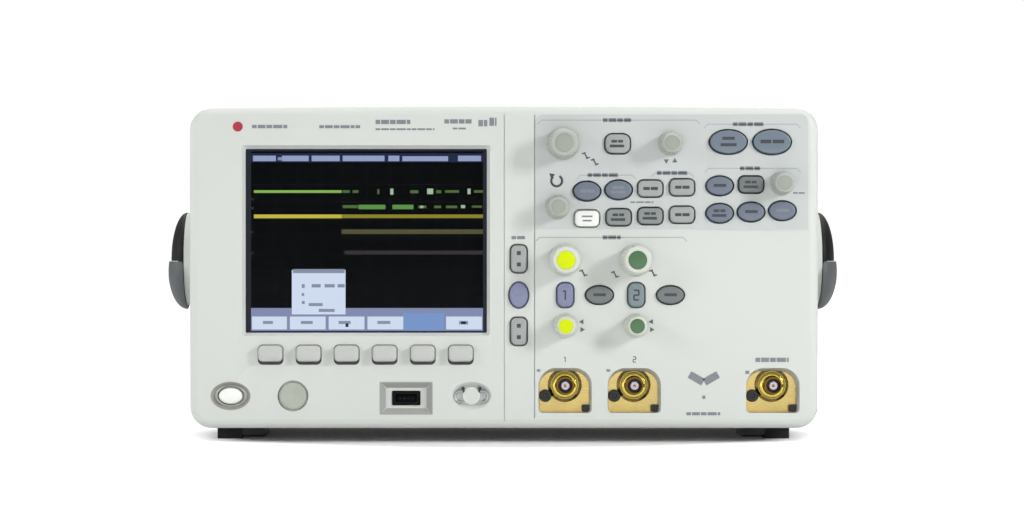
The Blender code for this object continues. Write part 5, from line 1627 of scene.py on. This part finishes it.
@dataclass
class Case:
    """The case behind the bezel, with its vents, grille, screws and rear panel."""

    inset: float = 2.5 * MM
    wall: float = 3 * MM
    corner: float = 9.5 * MM
    edge: float = 5 * MM
    grille_slot: float = 5 * MM
    grille_pitch: float = 8.4 * MM
    grille_radius: float = 37.5 * MM
    vents: int = 7
    vent: tuple = mm(2.8, 44)
    vent_pitch: float = 5.58 * MM
    vents_from: float = 31.72 * MM
    boss: float = 27.2 * MM
    boss_height: float = 12 * MM
    fan_screws: float = 36.08 * MM
    plate: tuple = mm(-60, 140, 120, 46)
    plate_rows: tuple = (
        (-60, 152, 96, 2.2), (-70, 146, 76, 1.2), (-66, 141, 84, 1.2), (-78, 136, 60, 1.2), (-60, 128, 96, 1.2)
    )

    def shell(self) -> Mesh:
        """Makes the hollow case with its pivot bosses and openings.

        Returns:
            The new mesh.
        """
        centre = (BASE + TOP) / 2
        half = HALF_W - self.inset
        height = TOP - BASE - 2 * self.inset
        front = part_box("rear_case")[0].y
        bm = slab(0, centre, (2 * half, height), front, REAR, self.corner, segments=10)
        round_edges(bm, edges_at(bm, 1, REAR), self.edge, 5)
        size = (2 * (half - self.wall), height - 2 * self.wall)
        inner = slab(0, centre, size, front - 2 * MM, REAR - self.wall, self.corner - self.wall, segments=8)
        bm = carved(bm, [inner])
        pivot = middle_of_joint("handle_swing")
        bosses, cuts = [], []
        for side in (-1, 1):
            inside, tip = side * (half - self.wall / 2), side * (half + self.boss_height)
            bosses.append(rod(self.boss, (inside, pivot.y, pivot.z), (tip, pivot.y, pivot.z), 64))
            for i in range(self.vents):
                y = pivot.y + self.vents_from + i * self.vent_pitch
                wall = sorted((side * (half - 2 * self.wall), side * (half + 2 * MM)))
                wide, high = self.vent
                slot = block(*wall, y, y + wide, pivot.z - high / 2, pivot.z + high / 2)
                round_edges(slot, edges_along(slot, 0), 1.3 * MM, 4)
                cuts.append(slot)
        cuts += self.grille() + self.ports()
        return carved(carved(bm, bosses, Cut.ON), cuts)

    def grille(self) -> list:
        """Makes the tools for the fan grille's slot openings.

        Returns:
            The tools.
        """
        fan = middle("fan_frame")
        rows = int(self.grille_radius // self.grille_pitch)
        cuts = []
        for row in range(-rows, rows + 1):
            rise = row * self.grille_pitch
            half = math.sqrt(self.grille_radius**2 - rise**2)
            size = (2 * half, self.grille_slot)
            cuts.append(slab(fan.x, fan.z + rise, size, REAR - 2 * self.wall, REAR + 2 * MM, 2.4 * MM, segments=5))
        return cuts

    def ports(self) -> list:
        """Makes the tools for the openings round the rear ports and the inlet.

        Returns:
            The tools.
        """
        return [
            slab(x, z, (w + 1.2 * MM, h + 1.2 * MM), REAR - 2 * self.wall, REAR + 2 * MM, 0.6 * MM, segments=3)
            for x, z, w, h in (*[(p.x, p.z, p.width, p.height) for p in PORTS], POD, INLET)
        ]

    def build(self) -> None:
        """Makes the case with the opening for its inlet, its screws and its rear labels."""
        add_piece("case_shell", self.shell(), SHELL, stands_for=("rear_case",))
        places = [(x, z) for x in mm(-160, 160) for z in mm(20, 176)]
        fan, reach = middle("fan_frame"), self.fan_screws
        places += [(fan.x + x * reach, fan.z + z * reach) for x in (-1, 1) for z in (-1, 1)]
        add_piece("case_screws", joined([screw(x, z, REAR) for x, z in places]), STEEL)
        x, z, width, height = self.plate
        plate = slab(x, z, (width, height), REAR - 0.1 * MM, REAR + 0.25 * MM, 3 * MM)
        add_piece("rear_label_plate", plate, KEY_PALE)
        marks = [
            slab(x, z, (w, h), REAR + 0.1 * MM, REAR + 0.32 * MM)
            for x, z, w, h in (mm(*row) for row in self.plate_rows)
        ]
        add_piece("rear_label_bars", joined(marks), INK)


def middle_of_joint(name: str) -> Vector:
    """Gives the point that a joint turns about."""
    return Vector(next(j["pos_m"] for j in frame["joints"] if j["name"] == name))


def screw(x: float, z: float, seat: float) -> Mesh:
    """Makes a pan-head screw with a cross recess, facing back.

    Args:
        x, z: its middle.
        seat: the plane that its head lies on.

    Returns:
        The new mesh.
    """
    head = turned(points(seat, (0, -0.3), (3, -0.3), (3, 0.6), (2.5, 1.4), (1.2, 1.8), (0, 1.9)), x, z, 28)
    cross = [slab(x, z, size, seat + 0.7 * MM, seat + 3 * MM) for size in (mm(3.2, 0.7), mm(0.7, 3.2))]
    return carved(head, cross)


@dataclass(frozen=True)
class Port:
    """A port on the main board: its place, its outer size, and its mouth's width, height and depth."""

    name: str
    x: float
    z: float
    width: float
    height: float
    depth: float
    mouth: tuple[float, float, float]
    finish: Finish

    def build(self) -> None:
        """Makes the port, open towards the back."""
        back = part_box("main_board")[1].y
        bm = slab(self.x, self.z, (self.width, self.height), back - self.depth, back, 0.4 * MM, segments=2)
        mouth = slab(self.x, self.z, self.mouth[:2], back - self.mouth[2], back + 2 * MM, 0.5 * MM, segments=2)
        add_piece(f"port_{self.name}", carved(bm, [mouth]), self.finish)
        size = (self.mouth[0] * 0.62, self.mouth[1] * 0.26)
        tongue = slab(self.x, self.z, size, back - self.mouth[2] - 0.5 * MM, back - 1.4 * MM, 0.3 * MM, segments=2)
        add_piece(f"port_{self.name}_contacts", tongue, BLACK)


BOARD_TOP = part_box("logic_pod_socket")[0].z - 0.3 * MM
PORTS = (
    Port("lan", 118 * MM, BOARD_TOP + 6.8 * MM, *mm(16, 13.6, 21), mm(12, 8.4, 12), STEEL),
    Port("square_usb", 92 * MM, BOARD_TOP + 5.5 * MM, *mm(12, 11, 16), mm(8.6, 7.8, 9), STEEL),
    Port("video", 58 * MM, BOARD_TOP + 6.2 * MM, *mm(31, 12.4, 14), mm(17, 8.2, 6), STEEL),
)
# The pod socket's and the mains inlet's x, z, width and height.
POD = (-22 * MM, BOARD_TOP + 6.3 * MM, 60 * MM, 12 * MM)
INLET = (-117 * MM, BASE + 26 * MM, 30 * MM, 24 * MM)


@dataclass
class Rear:
    """The ports, the pod socket's pins and the mains inlet."""

    pin: float = 0.64 * MM
    pin_pitch: float = 2.5 * MM
    pins: int = 20
    blades: tuple = (mm(-7, -1.5), mm(0, 2.4), mm(7, -1.5))

    def build(self) -> None:
        """Makes the board, its ports, the pins and the inlet."""
        low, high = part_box("main_board")
        board = block(low.x, high.x, low.y, REAR - 3.6 * MM, BOARD_TOP - 1.6 * MM, BOARD_TOP)
        add_piece("board_slab", board, BOARD, stands_for=("main_board",))
        for port in PORTS:
            port.build()
        dress(("logic_pod_socket",), BLACK)
        x, z, _, _ = POD
        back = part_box("logic_pod_socket")[1].y
        pins = []
        for i in range(self.pins):
            column = x + (i - (self.pins - 1) / 2) * self.pin_pitch
            for row in (-1, 1):
                size = (self.pin, self.pin)
                pins.append(slab(column, z + row * self.pin_pitch / 2, size, back - 9.4 * MM, back - 2 * MM))
        add_piece("pod_pins", joined(pins), BRASS)
        self.inlet()

    def inlet(self) -> None:
        """Makes the mains inlet: a flange on the case, a collar round its mouth and three flat pins."""
        x, z, _, _ = INLET
        flange = slab(x, z, mm(46, 29), REAR - 0.05 * MM, REAR + 1.8 * MM, 5 * MM, segments=6)
        round_edges(flange, edges_at(flange, 1, REAR + 1.8 * MM), 0.6 * MM, 2)
        collar = slab(x, z, mm(24, 16.6), REAR - 13.2 * MM, REAR + 1 * MM, 3 * MM)
        mouth = slab(x, z, mm(23.2, 15.8), REAR - 12.8 * MM, REAR + 4 * MM, 2.8 * MM)
        add_piece("inlet_housing", carved(carved(flange, [collar], Cut.ON), [mouth]), BLACK)
        pins = [
            slab(x + dx, z + dz, mm(2, 4), REAR - 13 * MM, REAR - 2 * MM, 0.5 * MM, segments=3)
            for dx, dz in self.blades
        ]
        add_piece("inlet_pins", joined(pins), STEEL)


@dataclass(frozen=True)
class HubHalf:
    """One half of a hub.

    It lies up or down from the split, its dome stands off the body, its centre lies a drop below the pivot, and it
    reaches that far from the pivot.
    """

    name: str
    way: int
    dome: float
    drop: float
    reach: float
    finish: Finish


@dataclass
class Handle:
    """The bail handle: hubs black above and grey below, the grey a painted reflection of the pale floor, arms, and a
    ribbed rubber grip across the back.
    """

    hub: float = 27.4 * MM
    hub_from: float = 186.8 * MM
    split: float = 0.1 * MM
    split_drop: float = 1.4 * MM
    halves: tuple = (
        HubHalf("upper", 1, 9.2 * MM, 0.0, 27.4 * MM, HANDLE_BLACK),
        # grey lower half: painted reflection of the pale floor
        HubHalf("lower", -1, 11 * MM, 7.5 * MM, 29.8 * MM, HUB_REFLECTION_GREY),
    )
    arm: float = 6.4 * MM
    arm_set_in: float = 7 * MM
    height: float = 24 * MM
    depth: float = 24 * MM
    bend: float = 34 * MM
    rim: float = 4 * MM
    ribs: int = 26
    rib_pitch: float = 9 * MM
    rib_gap: float = 1.6 * MM
    proud: float = 0.9 * MM

    def bail(self, pivot: Vector) -> Mesh:
        """Makes the arms and the crossbar as one round-edged loop.

        Args:
            pivot: the point that the handle turns about.

        Returns:
            The new mesh.
        """
        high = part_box("handle")[1]
        half = high.x - self.arm_set_in
        z0, z1 = pivot.z - self.height / 2, pivot.z + self.height / 2
        outer = block(-half, half, pivot.y, high.y, z0, z1)
        past = 5 * MM
        inner = block(self.arm - half, half - self.arm, pivot.y - past, high.y - self.depth, z0 - past, z1 + past)
        for bm, radius in ((outer, self.bend), (inner, self.bend - self.arm)):
            back = max(v.co.y for v in bm.verts)
            round_edges(bm, [e for e in edges_along(bm, 2) if e.verts[0].co.y > back - NOTHING], radius, 12)
        bm = carved(outer, [inner])
        rims = [e for z in (z0, z1) for e in edges_at(bm, 2, z) if max(v.co.y for v in e.verts) > pivot.y + NOTHING]
        round_edges(bm, rims, self.rim, 5)
        return bm

    def hub_half(self, side: int, pivot: Vector, half: HubHalf) -> Mesh:
        """Makes the upper or lower half of a hub, each part of a flattened ball.

        Args:
            side: -1 for the left hub and 1 for the right.
            pivot: the point that the handle turns about.
            half: the half's sizes.

        Returns:
            The new closed mesh.
        """
        bm = bmesh.new()
        foot = Vector((side * self.hub_from, pivot.y, pivot.z))
        place = Matrix.Translation(foot - Vector((0, 0, half.drop)))
        turn = Matrix.Diagonal((half.dome, self.hub, half.reach - half.drop, 1)) @ Matrix.Rotation(math.pi / 2, 4, "Y")
        bmesh.ops.create_uvsphere(bm, u_segments=64, v_segments=40, radius=1, matrix=place @ turn)
        split = foot + Vector((0, 0, half.way * self.split - self.split_drop))
        for at, away in ((foot, (-side, 0, 0)), (split, (0, 0, -half.way))):
            cut = bmesh.ops.bisect_plane(
                bm, geom=bm.verts[:] + bm.edges[:] + bm.faces[:], plane_co=at, plane_no=away, clear_outer=True
            )
            rim = [e for e in cut["geom_cut"] if isinstance(e, bmesh.types.BMEdge)]
            bmesh.ops.triangle_fill(bm, edges=rim, use_beauty=True)
        bmesh.ops.recalc_face_normals(bm, faces=bm.faces[:])
        return bm

    def backing(self, side: int, pivot: Vector) -> Mesh:
        """Makes the plate that backs a hub.

        Args:
            side: -1 for the left hub and 1 for the right.
            pivot: the point that the handle turns about.

        Returns:
            The new mesh.
        """
        face = self.hub_from * side
        start, end = (face - side * 0.7 * MM, pivot.y, pivot.z), (face + side * 0.6 * MM, pivot.y, pivot.z)
        return rod(self.hub - 0.6 * MM, start, end, 64)

    def grip(self, pivot: Vector) -> Mesh:
        """Makes the rubber sleeve with its ribs.

        Args:
            pivot: the point that the handle turns about.

        Returns:
            The new mesh.
        """
        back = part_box("handle")[1].y
        y = back - self.depth / 2
        half = (self.ribs - 1) / 2 * self.rib_pitch + 8 * MM
        size = self.depth + 2 * self.proud
        sleeve = block(-half, half, y - size / 2, back + self.proud, pivot.z - size / 2, pivot.z + size / 2)
        round_edges(sleeve, edges_along(sleeve, 0), 5 * MM, 5)
        cuts = []
        gap, core_half = self.rib_gap / 2, size / 2 - self.proud
        for i in range(self.ribs - 1):
            x = (i - (self.ribs - 2) / 2) * self.rib_pitch
            ring = block(x - gap, x + gap, y - size, back + size, pivot.z - size, pivot.z + size)
            core = block(
                x - 2 * MM, x + 2 * MM, y - core_half, back + 0.1 * MM, pivot.z - core_half, pivot.z + core_half
            )
            round_edges(core, edges_along(core, 0), 4.4 * MM, 4)
            cuts.append(carved(ring, [core]))
        return carved(sleeve, cuts)

    def build(self) -> None:
        """Makes the handle."""
        pivot = middle_of_joint("handle_swing")
        add_piece("handle_bail", self.bail(pivot), HANDLE_BLACK, "handle", ("handle",))
        add_piece("handle_grip", self.grip(pivot), GRIP_RUBBER, "handle")
        for side, name in ((-1, "left"), (1, "right")):
            for half in self.halves:
                add_piece(f"hub_{half.name}_{name}", self.hub_half(side, pivot, half), half.finish, "handle")
            add_piece(f"hub_backing_{name}", self.backing(side, pivot), HANDLE_BLACK, "handle")


@dataclass
class Inside:
    """The nodes that stay as they are: inner modules and feet."""

    finishes: tuple = (
        (("display_module",), ALUMINIUM), (("keypad_board",), BOARD), (("power_supply",), STEEL),
        (("fan_frame", "fan_rotor"), BLACK), (("foot_rail_left", "foot_rail_right"), FOOT_RUBBER),
        (("tilt_foot_left", "tilt_foot_right"), FOOT_PLASTIC),
    )

    def build(self) -> None:
        """Dresses each node."""
        for nodes, finish in self.finishes:
            dress(nodes, finish)


# ---- studio ----


@dataclass(frozen=True)
class Lamp:
    """An area light: where it is, what it points at, its width and height, and its power in watts."""

    name: str
    place: tuple
    target: tuple
    size: tuple
    power: float
    shows: bool = True

    def build(self) -> None:
        """Makes the light."""
        data = bpy.data.lights.new(self.name, "AREA")
        data.shape = "RECTANGLE"
        data.size, data.size_y = self.size
        data.energy = self.power
        lamp = bpy.data.objects.new(self.name, data)
        lamp.location = self.place
        lamp.rotation_euler = (Vector(self.target) - Vector(self.place)).to_track_quat("-Z", "Y").to_euler()
        lamp.visible_camera = self.shows
        bpy.context.scene.collection.objects.link(lamp)


@dataclass
class Studio:
    """A pale floor, soft lights and the camera.

    The floor is left grey within an oval round the instrument, and fades to white between two shares of that oval.
    """

    distance: float = 1.66
    aim: tuple = mm(4.5, 101.3)
    stand: float = -15 * MM
    frame_width: float = 0.5755
    sky: float = 0.25
    clear: tuple = (0.178, 0.135)
    bright: tuple = (0.92, 1.2)
    lamps: tuple = (
        Lamp("overhead", (0, -0.1, 1.35), (0, -0.1, 0.05), (2.0, 1.0), 12.5),
        Lamp("left_box", (-1.0, FACE - 0.62, 0.50), (0, FACE, 0.1), (0.3, 0.4), 3.6),
        Lamp("right_box", (1.02, FACE - 0.7, 0.55), (0, FACE, 0.1), (0.22, 0.28), 8.7),
        Lamp("low_card", (0, FACE - 0.34, 0.012), (0, FACE, 0.07), (0.8, 0.16), 0.55, shows=False),
        Lamp("left_card", (-1.2, FACE + 0.1, 0.35), (-0.18, FACE + 0.05, 0.1), (0.5, 0.5), 2.6),
        Lamp("front_card", (0, FACE - 2.4, 0.7), (0, FACE, 0.1), (2.2, 1.2), 3),
        Lamp("behind", (0, 1.2, 1.3), (0, 0, 0.1), (1.6, 1.0), 8),
    )

    def floor(self) -> None:
        """Makes the pale floor, which is burnt out to white away from the instrument."""
        bm = bmesh.new()
        bmesh.ops.create_grid(bm, x_segments=1, y_segments=1, size=12)
        mesh = bpy.data.meshes.new("floor")
        bm.to_mesh(mesh)
        bm.free()
        material = bpy.data.materials.new("floor_paper")
        material.use_nodes = True
        tree = Tree(material.node_tree)
        wide, deep = self.clear
        start, end = self.bright
        spot = tree.add("TexCoord").outputs["Object"]
        place = tree.add("Mapping", {0: spot, 1: (0, -(FACE + REAR) / 2 / deep, 0), 3: (1 / wide, 1 / deep, 1)})
        reach = tree.add("VectorMath", {0: place.outputs[0]}, operation="LENGTH").outputs["Value"]
        away = tree.add("MapRange", {"Value": reach, "From Min": start, "From Max": end, "To Min": 0.02})
        seen = tree.add("LightPath").outputs["Is Camera Ray"]
        tree.feed(material.node_tree.nodes["Principled BSDF"], {
            "Base Color": (0.8, 0.8, 0.8, 1), "Roughness": 0.8, "Emission Color": (1, 1, 1, 1),
            "Emission Strength": tree.sum("MULTIPLY", away.outputs[0], seen),
        })
        mesh.materials.append(material)
        floor = bpy.data.objects.new("floor", mesh)
        bpy.context.scene.collection.objects.link(floor)

    def sky_light(self) -> None:
        """Makes the white surroundings, which light the scene less brightly than they look."""
        world = bpy.data.worlds.new("studio")
        world.use_nodes = True
        bpy.context.scene.world = world
        tree = Tree(world.node_tree)
        ray = tree.add("LightPath")
        strength = tree.sum("ADD", tree.sum("MULTIPLY", ray.outputs["Is Camera Ray"], 1.02 - self.sky), self.sky)
        tree.feed(world.node_tree.nodes["Background"], {"Color": (1, 1, 1, 1), "Strength": strength})

    def camera(self) -> None:
        """Makes the camera, level, square to the face and a little left of its middle."""
        data = bpy.data.cameras.new("camera")
        data.sensor_width = 36
        data.lens = 18 / (self.frame_width / 2 / self.distance)
        camera = bpy.data.objects.new("camera", data)
        camera.location = (self.stand, FACE - self.distance, self.aim[1])
        data.shift_x = (self.aim[0] - self.stand) / self.frame_width
        camera.rotation_euler = (math.pi / 2, 0, 0)
        bpy.context.scene.collection.objects.link(camera)
        bpy.context.scene.camera = camera

    def build(self) -> None:
        """Makes the studio."""
        self.floor()
        self.sky_light()
        self.camera()
        for lamp in self.lamps:
            lamp.build()
        bpy.context.scene.view_settings.view_transform = "Standard"


def main() -> None:
    """Builds every sub-assembly in order."""
    logging.basicConfig(level=logging.INFO, format="%(message)s")
    for assembly in (
        Bezel(), Screen(), KeyRows(), Knobs(), Prints(), Sockets(), LowerRow(), Case(), Rear(), Handle(), Inside(),
        Studio(),
    ):
        assembly.build()
        LOG.info("%s is built", type(assembly).__name__)


if __name__ == "__main__":
    main()
